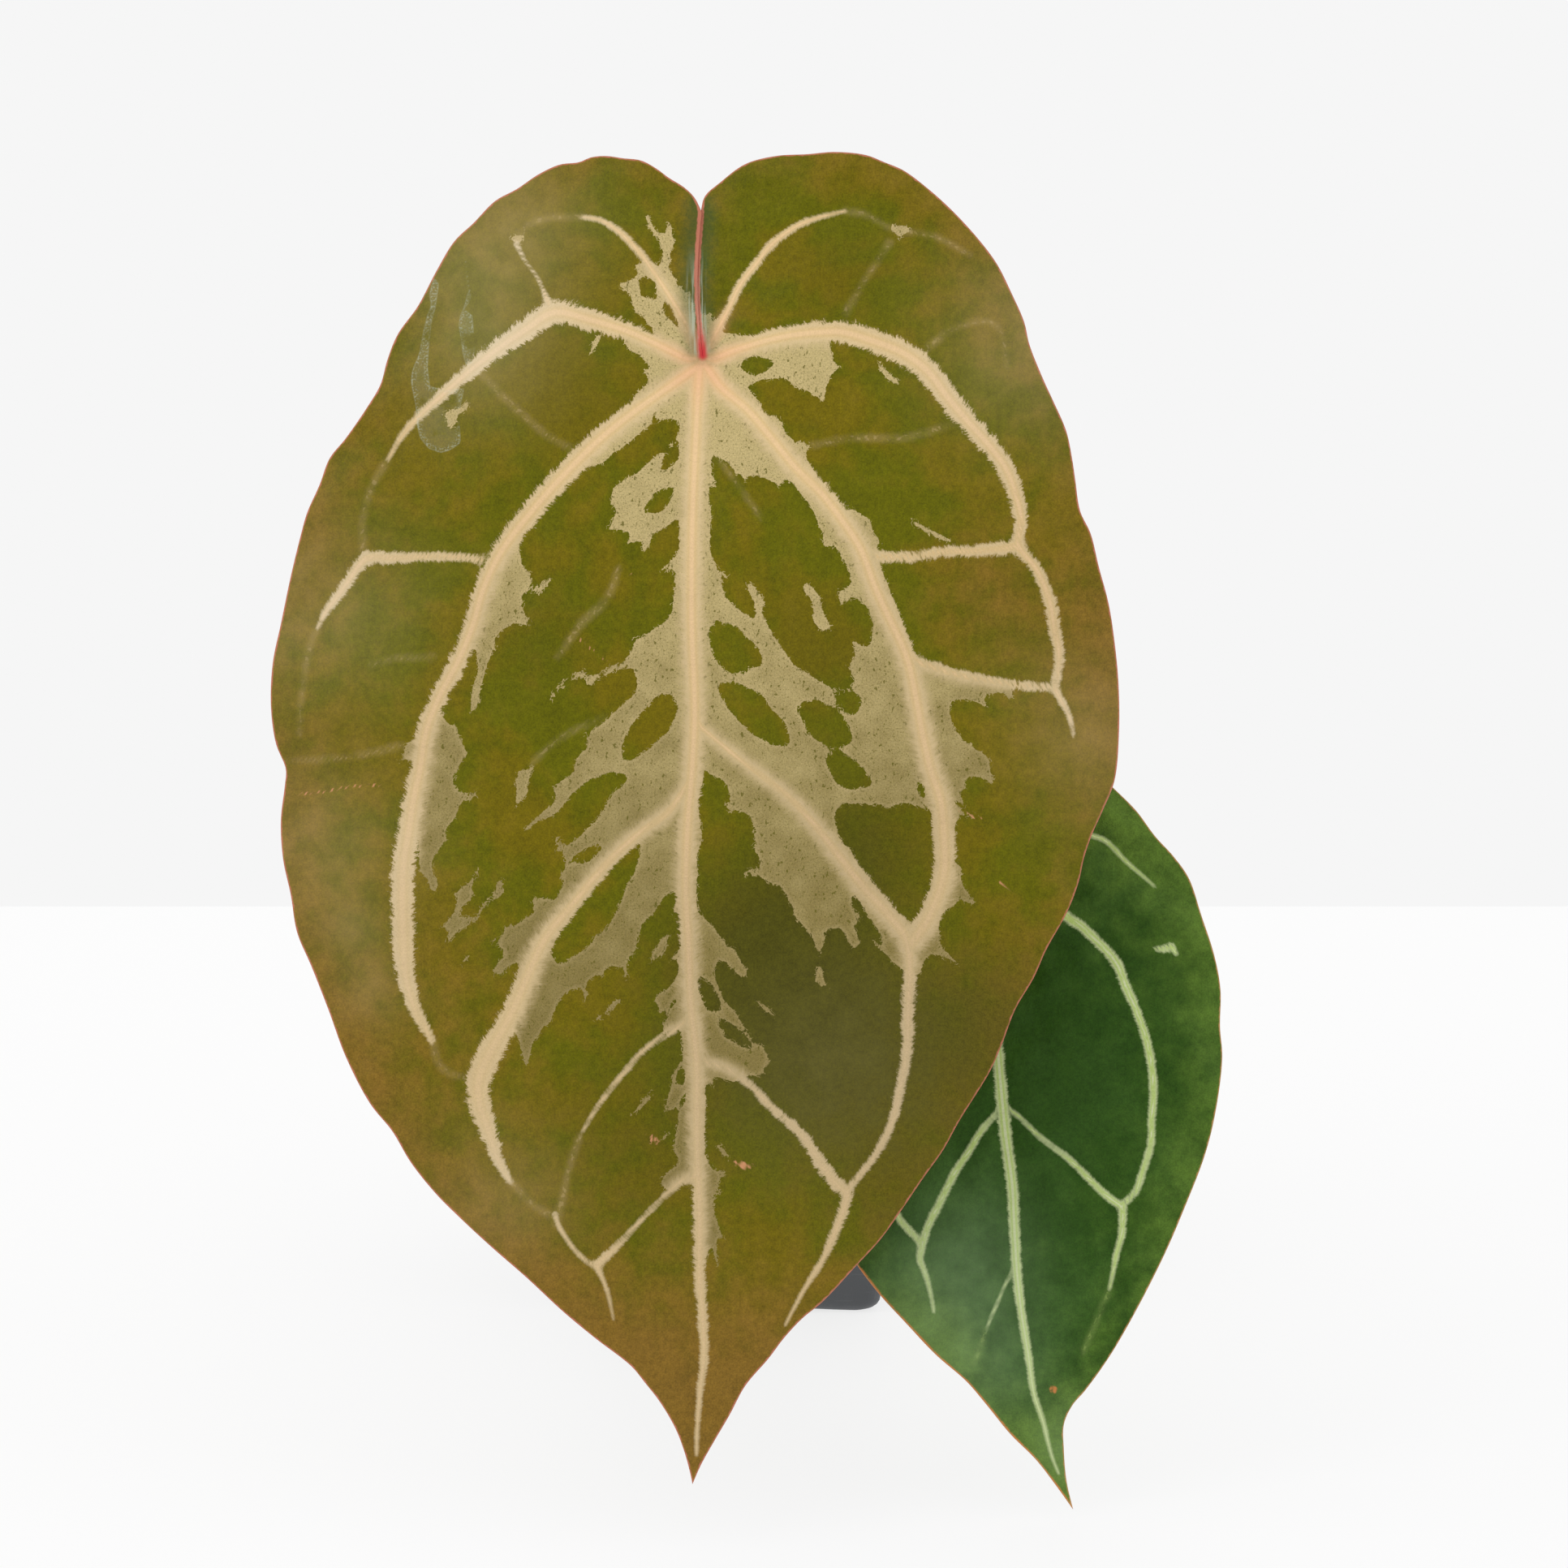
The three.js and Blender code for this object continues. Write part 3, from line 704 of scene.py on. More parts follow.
@dataclass(frozen=True)
class LeafFinish:
    """Finish of a blade: ground colours, patches, veins, margin and underside."""

    name: str
    ground: Colour
    ground_warm: Colour
    bronze: Colour
    deep: Colour
    silver: Colour
    silver_shade: Colour
    speck: Colour
    vein: Colour
    core: Colour
    flank: Colour
    margin: Colour
    joint: Colour
    scar: Colour
    under: Colour
    under_vein: Colour
    reflection_and_water_mark: Colour
    blush: Colour
    fold_shade: Colour
    sheen: Colour
    glare: Colour
    gloss: float = 0.08
    fringe: float = 1.0
    margin_width: float = 0.46

    def material(self) -> bpy.types.Material:
        """Material that reads the distances stored on a blade.

        Returns:
            The material.
        """
        r = Recipe(self.name, flat=True)
        spot = r.stored("spot", "Vector")
        vein, core, along = r.stored("vein"), r.stored("core"), r.stored("along")
        silver, edge, joint = r.stored("silver"), r.stored("edge"), r.stored("joint")
        under = r.stored("under")
        grain = r.noise(spot, 2.6, 2.0)
        fine = r.noise(spot, 0.8, 3.0)
        mottle = r.noise(spot, 0.17, 4.0)
        cloud = r.noise(spot, 0.04, 3.0)
        net = r.cells(r.wobble(spot, 0.08, 9.0), 0.075)
        # Ground: warm and cool greens, bronze and deep zones, paler side veins
        base = r.mix(r.band(cloud + (mottle - 0.5) * 0.4, 0.36, 0.64) * 0.8, self.ground, self.ground_warm)
        base = r.mix(r.band(r.stored("bronze") + (mottle - 0.5) * 0.7, 0.0, 1.0), base, self.bronze)
        base = r.mix(r.band(r.stored("deep") + (mottle - 0.5) * 0.5, 0.0, 1.0), base, self.deep)
        base = r.shade(base, 1 + (mottle - 0.5) * 0.4 + (fine - 0.5) * 0.55 + (grain - 0.5) * 0.7)
        trace = r.stored("trace")
        faint = r.band(trace + (fine - 0.5) * 0.8, 1.3, -0.3) * r.band(mottle, 0.3, 0.6, (0.05, 0.16))
        dots = r.band(trace + (fine - 0.5) * 0.6, 0.35, 0.0)
        dots = dots * r.band(r.noise(spot, 0.7, 2.0), 0.52, 0.62) * 0.2
        base = r.mix(faint + dots, base, self.flank)
        # Painted sheen: paler areas where light glances off the blade
        base = r.mix(r.stored("sheen") * (0.6 + mottle * 0.8), base, self.sheen)
        # Silver patches with ragged rims and dark specks
        spike = r.band((r.noise(spot, 0.42, 2.0) - 0.5).math("ABSOLUTE"), 0.028, 0.0)
        ragged = silver + spike * 0.5 + (fine - 0.5) * 0.7 + (grain - 0.5) * 0.4 + 0.1
        patch = r.band(ragged, -0.1, 0.12)
        tone = r.mix(r.band(joint + (mottle - 0.5) * 80, 5, 160), self.silver, self.silver_shade)
        tone = r.shade(tone, 1 + (grain - 0.5) * 0.6 + (r.noise(spot, 5.0, 1.0) - 0.5) * 0.4)
        tone = r.mix(r.band(silver, 0.9, 0.0) * 0.16, tone, self.vein)
        fleck = r.band(r.noise(spot, 2.3, 2.0) + r.band(silver, 2.5, 0.0) * 0.03, 0.64, 0.69)
        tone = r.mix(fleck * 0.5, tone, self.speck)
        dash = r.band(r.noise(r.scaled(spot, (1.0, 0.7, 1.0)), 1.1, 2.0), 0.66, 0.70)
        tone = r.mix(dash * r.band(mottle, 0.4, 0.5) * 0.8, tone, self.speck)
        base = r.mix(patch, base, tone)
        # Veins: a pink core, ochre flanks and a combed fringe
        comb = r.noise(r.vector(along * 1.6 + core * 0.7, core * 0.35, 0.0), 1.0, 3.0, 0.75)
        lobes = r.noise(spot, 0.42, 2.0)
        tear = (comb - 0.5) * 2.6 + (lobes - 0.5) * 1.5 + (grain - 0.5) * 1.2
        worn = vein + tear * ((core - vein) * 0.55).math("MINIMUM", 1.0) * self.fringe
        cover = r.band(worn, 0.45 + patch * 0.4, -0.45 - patch * 0.6)
        share = core / (core - vein).math("MAXIMUM", 0.05)
        stops = [(0.0, self.core), (0.14, self.core), (0.36, self.flank), (0.75, self.vein), (1.0, self.vein)]
        strand = r.node("ValToRGB", {"stops": stops}, {0: share + (grain - 0.5) * 0.2})
        light = r.band(joint, 100.0, 5.0) * 0.14 - r.stored("deep") * 0.2
        stripe = r.mix(r.band(joint + (mottle - 0.5) * 60, 60, 180) * 0.6, r.out(strand), self.vein)
        stripe = r.shade(stripe, 1 + (grain - 0.5) * 0.3 + (comb - 0.5) * 0.2 + light)
        # Painted sheen on the veins too, in the whitish glare colour
        stripe = r.mix(r.stored("sheen") * 1.6, stripe, self.glare)
        base = r.mix(r.band(worn, 2.2, -0.2) * patch * 0.45, base, self.vein)
        base = r.mix(cover, base, stripe)
        # Joint, slit and margin, with a painted shade and a painted reflection beside the slit
        base = r.mix(r.band(joint, 16.0, 1.0) * r.band(core, 3.0, 0.0) * 0.45, base, self.blush)
        slit = r.stored("slit")
        base = r.mix(r.band(slit + (fine - 0.5) * 2.0, 5.5, 1.0) * 0.6, base, self.fold_shade)
        # Painted reflection: pale streaks beside the lower slit, where the lobes curve down into it
        streak = r.noise(r.scaled(spot, (1.6, 0.1, 1.0)), 1.0, 3.0)
        low = r.band(slit, 2.6, 0.9) * r.band(joint, 26.0, 12.0)
        base = r.mix(low * r.band(streak, 0.35, 0.6) * 0.55, base, self.reflection_and_water_mark)
        gap = edge + (fine - 0.5) * 0.5 - r.band(slit, 3.0, 0.5) * 0.3
        rim = r.band(gap, self.margin_width, self.margin_width - 0.4)
        base = r.mix(rim * 0.8, base, self.margin)
        base = r.mix(r.band(joint + (fine - 0.5) * 2.0, 9.0, 0.5) * r.band(edge, 1.6, 0.3), base, self.joint)
        base = r.mix(r.band(r.stored("scar"), 0.55, 0.1) * r.band(fine, 0.3, 0.5) * 0.85, base, self.scar)
        # Dried water marks, which share the pale colour of the painted slit reflection
        drip = r.stored("drip")
        crust = r.band(drip, 1.6, 0.0) * r.band(r.noise(spot, 2.1, 2.0), 0.5, 0.62)
        wet = r.band(drip, -0.1, 0.15) * (0.07 + crust * 0.3) + r.band(drip.math("ABSOLUTE"), 0.25, 0.0) * 0.12
        base = r.mix(wet * r.band(mottle, 0.3, 0.5), base, self.reflection_and_water_mark)
        # Underside
        pale = r.shade(self.under, 1 + (mottle - 0.5) * 0.4 + (grain - 0.5) * 0.2)
        pale = r.mix(r.band(net, 0.1, 0.0) * 0.4, pale, self.under_vein)
        pale = r.mix(r.band(vein, 0.8, -0.6) * 0.7, pale, self.under_vein)
        pale = r.mix(rim * 0.9, pale, self.margin)
        base = r.mix(under, base, pale)
        rough = 0.4 + patch * 0.1 + cover * 0.05 + (grain - 0.5) * 0.16 + under * 0.1
        height = r.noise(spot, 3.4, 1.0) * 0.05 + r.noise(spot, 0.6, 2.0) * 0.16
        return r.finish(base, rough, height, {"Specular IOR Level": self.gloss})


@dataclass(frozen=True)
class StrandFinish:
    """Finish of a stalk, root, rib or stem: a ground with streaks along it and blotches."""

    name: str
    ground: Colour
    streak: Colour
    blotch: Colour
    blush: Colour
    rough: float = 0.5
    relief: float = 0.05
    streaks: float = 1.2

    def material(self) -> bpy.types.Material:
        """Material that reads the turn and run stored on a tube.

        Returns:
            The material.
        """
        r = Recipe(self.name)
        spot = r.place()
        turn, run = r.stored("turn"), r.stored("run")
        lines = r.noise(r.vector(turn * self.streaks, run * 0.05, 0.0), 1.0, 3.0)
        mottle = r.noise(spot, 0.16, 4.0)
        fine = r.noise(spot, 1.1, 3.0)
        base = r.mix(r.band(lines, 0.42, 0.62), self.ground, self.streak)
        base = r.mix(r.band(mottle, 0.52, 0.68) * 0.6, base, self.blotch)
        base = r.mix(r.stored("blush"), base, self.blush)
        speck = r.band(r.noise(spot, 0.9, 2.0), 0.64, 0.7)
        base = r.mix(speck * 0.35, base, self.blotch)
        base = r.shade(base, 1 + (fine - 0.5) * 0.4)
        height = ((lines - 0.5) * 0.8 + (fine - 0.5)) * self.relief
        rough = self.rough + (fine - 0.5) * 0.2
        return r.finish(base, rough, height, {"Specular IOR Level": 0.4})


@dataclass(frozen=True)
class PlasticFinish:
    """Moulded plastic of the pot: matt charcoal with a fine grain, scuffs and dust."""

    name: str
    ground: Colour
    scuff: Colour
    dust: Colour

    def material(self) -> bpy.types.Material:
        """Material with grain, dusty streaks, scratches and worn edges.

        Returns:
            The material.
        """
        r = Recipe(self.name)
        spot = r.place()
        grain = r.noise(spot, 3.2, 2.0)
        cloud = r.noise(spot, 0.05, 4.0)
        base = r.shade(self.ground, 1 + (cloud - 0.5) * 0.3 + (grain - 0.5) * 0.2)
        streaks = r.noise(r.scaled(spot, (0.9, 0.9, 0.05)), 1.0, 3.0)
        base = r.mix(r.band(streaks, 0.6, 0.75) * 0.25, base, self.dust)
        scratch = r.noise(r.scaled(spot, (0.1, 0.1, 2.4)), 1.0, 2.0)
        base = r.mix(r.band(scratch, 0.66, 0.72) * 0.3, base, self.scuff)
        edge = r.node("NewGeometry")
        worn = r.band(r.out(edge, "Pointiness") + (grain - 0.5) * 0.02, 0.52, 0.57)
        base = r.mix(worn * 0.3, base, self.scuff)
        rough = 0.52 + (grain - 0.5) * 0.2 + (cloud - 0.5) * 0.12
        height = (grain - 0.5) * 0.06 + (scratch - 0.5) * 0.02
        return r.finish(base, rough, height, {"Specular IOR Level": 0.45})


@dataclass(frozen=True)
class CrumbFinish:
    """Finish of loose pieces of the mix, each with a colour of its own."""

    name: str
    light: Colour
    dark: Colour
    fleck: Colour
    rough: float
    relief: float
    stretch: Triple = (1.0, 1.0, 1.0)

    def material(self) -> bpy.types.Material:
        """Material that reads the tone stored on each crumb.

        Returns:
            The material.
        """
        r = Recipe(self.name)
        spot = r.place()
        lines = r.noise(r.scaled(spot, self.stretch), 0.9, 4.0)
        fine = r.noise(spot, 2.4, 3.0)
        tone = r.stored("tone")
        base = r.mix(r.band(tone * 0.7 + (lines - 0.5) * 1.2 + 0.15, 0.2, 0.8), self.dark, self.light)
        base = r.mix(r.band(fine, 0.6, 0.68) * 0.5, base, self.fleck)
        base = r.shade(base, 1 + (fine - 0.5) * 0.5)
        height = ((lines - 0.5) * 1.4 + (fine - 0.5)) * self.relief
        return r.finish(base, self.rough + (fine - 0.5) * 0.15, height)


@dataclass(frozen=True)
class PaperFinish:
    """Dry sheath: brown papery skin with fine veins along it and darker tips."""

    name: str
    light: Colour
    dark: Colour
    tip: Colour

    def material(self) -> bpy.types.Material:
        """Material that reads how far across and up a sheath each point is.

        Returns:
            The material.
        """
        r = Recipe(self.name)
        spot = r.place()
        across, up = r.stored("across"), r.stored("up")
        fibre = r.noise(r.vector(across * 34.0, up * 2.0, 0.0), 1.0, 3.0)
        mottle = r.noise(spot, 0.2, 3.0)
        base = r.mix(r.band(fibre, 0.36, 0.64), self.dark, self.light)
        base = r.mix(r.band(up + (mottle - 0.5) * 0.7, 0.55, 1.0) * 0.8, base, self.tip)
        base = r.shade(base, 1 + (mottle - 0.5) * 0.5)
        height = (fibre - 0.5) * 0.16 + (mottle - 0.5) * 0.1
        return r.finish(base, 0.62 + (fibre - 0.5) * 0.2, height, {"Specular IOR Level": 0.3})


@dataclass(frozen=True)
class StudioFinish:
    """Plain pale floor, a little uneven, with a glow of its own like a light table's."""

    name: str
    ground: Colour
    rough: float
    glow: float

    def material(self) -> bpy.types.Material:
        """Material of the floor.

        Returns:
            The material.
        """
        r = Recipe(self.name)
        cloud = r.noise(r.place(), 0.006, 2.0)
        glow = {"Emission Color": WHITE, "Emission Strength": self.glow, "Specular IOR Level": 0.1}
        return r.finish(r.shade(self.ground, 0.995 + (cloud - 0.5) * 0.02), self.rough, None, glow)


# ---------------------------------------------------------------- blades


@dataclass(frozen=True)
class Vein:
    """Vein of a blade: its line, half widths at even shares of it, and whether it is only a trace."""

    line: str
    halves: tuple[float, ...]
    faint: bool = False

    def points(self) -> np.ndarray:
        """Points of the vein's line, about 2 mm apart."""
        places = drawn(self.line)
        return smooth_way(places, np.linspace(0, 1, max(3, int(way_length(places) / 2.0) + 1)))


def read_veins(text: str) -> tuple[Vein, ...]:
    """Veins from rows headed by their half widths, with a ~ before those of a trace.

    Args:
        text: the rows.

    Returns:
        The veins.
    """
    return tuple(
        Vein(line, tuple(float(half) for half in halves.strip(" ~\n").split()), "~" in halves)
        for halves, line in rows_of(text)
    )


def read_ribs(text: str) -> tuple[tuple[float, str], ...]:
    """Widths and lines of ribs, from rows headed by their widths."""
    return tuple((float(width), line) for width, line in rows_of(text))


@dataclass(frozen=True)
class Patch:
    """Silver patch: its outline and the green holes in it."""

    outline: str
    holes: tuple[str, ...] = ()

    def depth(self, points: np.ndarray, reach: float) -> np.ndarray:
        """Depth of points inside the patch, negative outside it and in its holes.

        Args:
            points: drawn points.
            reach: depth past which it doesn't matter.

        Returns:
            The depths.
        """
        depth = depth_inside(points, drawn(self.outline), reach)
        for hole in self.holes:
            depth = np.minimum(depth, -depth_inside(points, drawn(hole), reach))
        return depth


def read_patches(text: str) -> tuple[Patch, ...]:
    """Patches parted by semicolons, each an outline with its holes after bars."""
    return tuple(Patch(outline, tuple(holes)) for outline, *holes in (row.split("|") for row in text.split(";")))


@dataclass(frozen=True)
class Zone:
    """Soft round area of a blade where a tint is strong."""

    right: float
    up: float
    reach: float
    amount: float

    def share(self, points: np.ndarray) -> np.ndarray:
        """How much of the tint each point has."""
        away = np.hypot(points[:, 0] - self.right, points[:, 1] - self.up)
        return self.amount * np.exp(-((away / self.reach) ** 2))


def read_zones(text: str) -> tuple[Zone, ...]:
    """Zones, each written as right,up,reach,amount."""
    return tuple(Zone(*row) for row in drawn(text))


@dataclass
class Blade:
    """Heart shaped blade with its veins, patches and ribs."""

    name: str
    slot: Slot
    finish: LeafFinish
    rib_finish: StrandFinish
    distance: float
    right: float
    up: float
    bow: float
    bow_centre: float
    bow_reach: float
    droop: float
    wave: float
    wave_length: float
    half_width: float
    left_margin: str
    right_margin: str
    midrib: str
    veins: tuple[Vein, ...]
    patches: tuple[Patch, ...]
    ribs: tuple[tuple[float, str], ...]
    bronze: tuple[Zone, ...]
    deep: tuple[Zone, ...]
    sheen: tuple[Zone, ...]
    scars: tuple[str, ...]
    drips: tuple[Patch, ...]
    slit_line: str
    slit_bow: float
    spokes: int
    rings: int
    back_step: int
    fold: float = 0.1
    slant: float = 0.85
    thickness: float = 0.75
    margin_half: float = 0.2
    packed_thickness: float = 0.9
    rib_end_share: float = 0.35
    rib_depth: float = 1.1
    vein_sink: float = 0.3
    vein_ridge: float = 0.22
    quilt: float = 0.5
    ripple: float = 0.45
    ripple_length: float = 15.0
    edge_gaps: tuple[float, ...] = (0.8, 0.35, 0.12, 0.0)
    edge_reach: float = 16.0
    rim_taper: float = 14.0
    mark_reach: float = 4.0
    flat_rim: float = 5.0
    sink_reach: float = 2.4
    ridge_reach: float = 0.8
    quilt_reach: float = 14.0
    slit_bow_reach: float = 9.0
    slit_lap: float = 0.3
    lap_reach: float = 6.0
    back_fine: int = 12
    back_rim: int = 3
    chart_room: float = 1.02
    rim_bronze: float = 0.3
    rim_bronze_reach: float = 9.0
    rib_gap: float = 2.2
    rib_inset: float = 0.65
    swells: tuple[tuple[float, float], ...] = ((26, 0.25), (15, 0.16), (9, 0.09))
    swell_seed: int = 11
    rib_sides: int = 12
    spine: np.ndarray = field(init=False)
    low: np.ndarray = field(init=False)
    high: np.ndarray = field(init=False)

    def __post_init__(self) -> None:
        """Reads the midrib's line and the outline's corners."""
        self.spine = drawn(self.midrib)
        outline = np.vstack([drawn(self.left_margin), drawn(self.right_margin)])
        self.low, self.high = outline.min(0), outline.max(0)

    def midrib_at(self, up: np.ndarray) -> np.ndarray:
        """Where the midrib runs at a height on the drawing plane."""
        return np.interp(up, self.spine[::-1, 1], self.spine[::-1, 0])

    def relief(self, points: np.ndarray) -> np.ndarray:
        """Relief of the blade's front as packed: bowed, folded, drooping and waved.

        Args:
            points: drawn points.

        Returns:
            How far each stands in front of the drawing plane.
        """
        right, up = points.T
        aside = right - self.midrib_at(up)
        along = (up - self.bow_centre) / self.bow_reach
        rise = self.bow * (1 - along**2) + self.fold * (np.hypot(aside, 4) - 4)
        phase = FULL_TURN * up / self.wave_length + np.sign(aside)
        return rise - self.droop * aside**2 + self.wave * (aside / self.half_width) ** 2 * np.sin(phase)

    def place(self, points: np.ndarray, relief: np.ndarray) -> np.ndarray:
        """Places in millimetres of drawn points.

        Args:
            points: right and up of each point.
            relief: how far each stands in front of the drawing plane.

        Returns:
            One place for each point.
        """
        nearer = (1 - relief / self.distance)[:, None]
        right = np.outer(self.right + points[:, 0], SIGHT_RIGHT)
        up = np.outer(self.up + points[:, 1], SIGHT_UP)
        return SIGHT + nearer * (right + up + self.distance * SIGHT_AHEAD)

    def half(self, margin: str) -> tuple[np.ndarray, np.ndarray]:
        """Margin points of one half, closer together at the slit, and how far round each is.

        Args:
            margin: the half's margin.

        Returns:
            The points, and the length of margin up to each.
        """
        places = drawn(margin)
        length = way_length(places)
        gaps = np.array(self.edge_gaps[::-1])
        rest = np.linspace(2 * gaps[-1], length, self.spokes + 1 - len(gaps))
        shares = np.concatenate([gaps, rest]) / length
        return smooth_way(places, shares), shares * length

    def drawn_spokes(self) -> list[np.ndarray]:
        """Drawn points of both halves, by spoke and ring.

        Returns:
            The points of the left half and of the right one.
        """
        halves = [self.half(margin) for margin in (self.left_margin, self.right_margin)]
        lowest = self.spine[-1, 1]
        feet = []
        for places, _ in halves:
            aside = np.abs(places[:, 0] - self.midrib_at(places[:, 1]))
            feet.append(np.clip(places[:, 1] + self.slant * aside, lowest, 0))
        height = np.minimum.accumulate((feet[0] + feet[1]) / 2)
        height[: len(self.edge_gaps)] = 0
        height[-1] = lowest
        foot = np.column_stack([self.midrib_at(height), height])
        made = []
        for places, run in halves:
            length = np.linalg.norm(places - foot, axis=1)
            outer = 1 - np.array(self.edge_gaps) / length[:, None]
            inner = np.linspace(0, 1, self.rings + 2 - len(self.edge_gaps)) * outer[:, :1]
            shares = np.hstack([inner, outer[:, 1:]])
            spokes = foot[:, None, :] + (places - foot)[:, None, :] * shares[:, :, None]
            fade = np.exp(-((run / self.slit_bow_reach) ** 2))[:, None]
            spokes[:, :, 0] += self.slit_bow * np.sin(math.pi * shares) * fade
            made.append(spokes)
        return made

    def edge_lines(self, halves: list[np.ndarray]) -> list[np.ndarray]:
        """Free edge of each half: up the slit from just above the joint, and round its margin."""
        return [np.vstack([spokes[0, 1:], spokes[1:, -1]]) for spokes in halves]

    def small_relief(self, points: np.ndarray, edge: np.ndarray) -> np.ndarray:
        """Fine relief: sunk veins, quilting between them and a rippled margin.

        Args:
            points: drawn points.
            edge: their distances from the free edge.

        Returns:
            The relief.
        """
        vein, core, _, _ = self.vein_distances(points)
        sunk = -self.vein_sink * np.exp(-((core / self.sink_reach) ** 2))
        ridge = self.vein_ridge * np.exp(-((core / self.ridge_reach) ** 2)) * ease(-vein, -0.2, 0.6)
        puff = self.quilt * ease(core, 1.0, self.quilt_reach)
        rng = np.random.default_rng(self.swell_seed)
        soft = np.zeros(len(points))
        for length, size in self.swells:
            for _ in range(5):
                turn, start = rng.uniform(0, FULL_TURN, 2)
                way = points @ np.array([math.cos(turn), math.sin(turn)])
                soft += size / 2.2 * np.sin(way / length * FULL_TURN + start)
        run = points[:, 1] + 0.6 * np.abs(points[:, 0])
        wave = self.ripple * np.sin(run / self.ripple_length * FULL_TURN) * ease(edge, self.edge_reach, 2)
        return (sunk + ridge + puff + soft) * ease(edge, 0, self.flat_rim) + wave

    def vein_distances(self, points: np.ndarray) -> tuple[np.ndarray, ...]:
        """Distances that the materials use.

        Args:
            points: drawn points.

        Returns:
            Distance from the nearest vein's rim and from its centre line, how far along it, and
            the distance from the rim of the nearest faint vein.
        """
        reach = self.edge_reach
        vein, core, trace = np.full((3, len(points)), reach)
        along = np.zeros(len(points))
        for number, branch in enumerate(self.veins):
            line = branch.points()
            away, run = from_line(points, line, reach)
            length = way_length(line)
            half = np.interp(run / length, np.linspace(0, 1, len(branch.halves)), branch.halves)
            rim = np.where(away < reach, away - half, reach)
            if branch.faint:
                trace = np.minimum(trace, rim)
                continue
            closer = rim < vein
            vein[closer], core[closer] = rim[closer], away[closer]
            along[closer] = run[closer] + 1000 * number
        return vein, core, along, trace

    def sheet(
        self, spokes: np.ndarray, front: bool, edges: list[np.ndarray], offset: float
    ) -> bpy.types.Object:
        """One face of one half of the blade.

        Args:
            spokes: drawn points of the half, by spoke and ring.
            front: whether this is the front.
            edges: free edges of both halves.
            offset: how far the half stands forward beside the slit.

        Returns:
            The sheet, with its drawn points stored.
        """
        kept = np.arange(spokes.shape[1])
        if not front:
            last = self.rings - self.back_rim
            far = np.arange(self.back_fine, last, self.back_step)
            kept = np.concatenate([kept[: self.back_fine : 2], far, [last, self.rings]])
        cut = spokes[:, kept]
        points = cut.reshape(-1, 2)
        edge = self.free_edge(points, edges)
        half = self.margin_half + (self.thickness / 2 - self.margin_half) * ease(edge, 0, self.rim_taper)
        curve = np.clip(edge / self.margin_half, 0, 1)
        half = half * np.sqrt(np.clip(1 - (1 - curve) ** 2, 0, 1))
        middle = self.relief(points) + self.small_relief(points, edge) - self.thickness / 2
        lap = np.exp(-((points[:, 0] / self.lap_reach) ** 2)) * ease(points[:, 1], 0, 2 * self.lap_reach)
        middle += offset * lap
        places = self.place(points, middle + half * (1 if front else -1)).reshape(*cut.shape[:2], 3)
        columns, rows = cut.shape[0] - 1, cut.shape[1] - 1
        sheet = grid_sheet(columns, rows, lambda column, row: places[column, row])
        flat = self.unplaced(points_of(sheet) / MM)
        note(sheet, spot=np.column_stack([flat, np.zeros(len(flat))]))
        layer = sheet.data.attributes.new("under", "FLOAT", "FACE")
        layer.data.foreach_set("value", np.full(len(sheet.data.polygons), 0.0 if front else 1.0, np.float32))
        chart = sheet.data.uv_layers[0]
        chart.name = "OFBake"
        corner = np.zeros(len(sheet.data.loops), np.int32)
        sheet.data.loops.foreach_get("vertex_index", corner)
        wide, tall = self.high - self.low
        span = self.chart_room * max(2 * wide, tall)
        spread = (flat[corner] - (self.low + self.high) / 2) / span + np.array([0.25 if front else 0.75, 0.5])
        chart.data.foreach_set("uv", spread.astype(np.float32).ravel())
        return sheet

    def unplaced(self, places: np.ndarray) -> np.ndarray:
        """Drawn points of places in millimetres.

        Args:
            places: places in front of the sight point.

        Returns:
            The drawn points.
        """
        ray = places - SIGHT
        nearer = ray @ SIGHT_AHEAD / self.distance
        right = ray @ SIGHT_RIGHT / nearer - self.right
        up = ray @ SIGHT_UP / nearer - self.up
        return np.column_stack([right, up])

    def free_edge(self, points: np.ndarray, edges: list[np.ndarray]) -> np.ndarray:
        """Distance of drawn points from the nearer free edge, as far as the edge's reach."""
        return np.minimum(*(from_line(points, line, self.edge_reach)[0] for line in edges))

    def build(self) -> bpy.types.Object:
        """Builds the blade as one closed piece, front and back meeting in a rounded margin.

        Returns:
            The blade.
        """
        halves = self.drawn_spokes()
        edges = self.edge_lines(halves)
        sheets = [
            self.sheet(spokes, front, edges, offset)
            for spokes, offset in zip(halves, (self.slit_lap, -self.slit_lap))
            for front in (True, False)
        ]
        blade = joined(self.name, sheets)
        weld(blade)
        with editing(blade):
            bpy.ops.mesh.select_non_manifold(
                extend=False, use_wire=False, use_multi_face=False, use_non_contiguous=False, use_verts=False
            )
            bpy.ops.mesh.fill_holes(sides=0)
            bpy.ops.mesh.select_all(action="SELECT")
            bpy.ops.mesh.normals_make_consistent(inside=False)
        smooth(blade)
        self.store(blade, edges)
        return dress(blade, self.name, self.slot, self.finish.material(), [self.name])

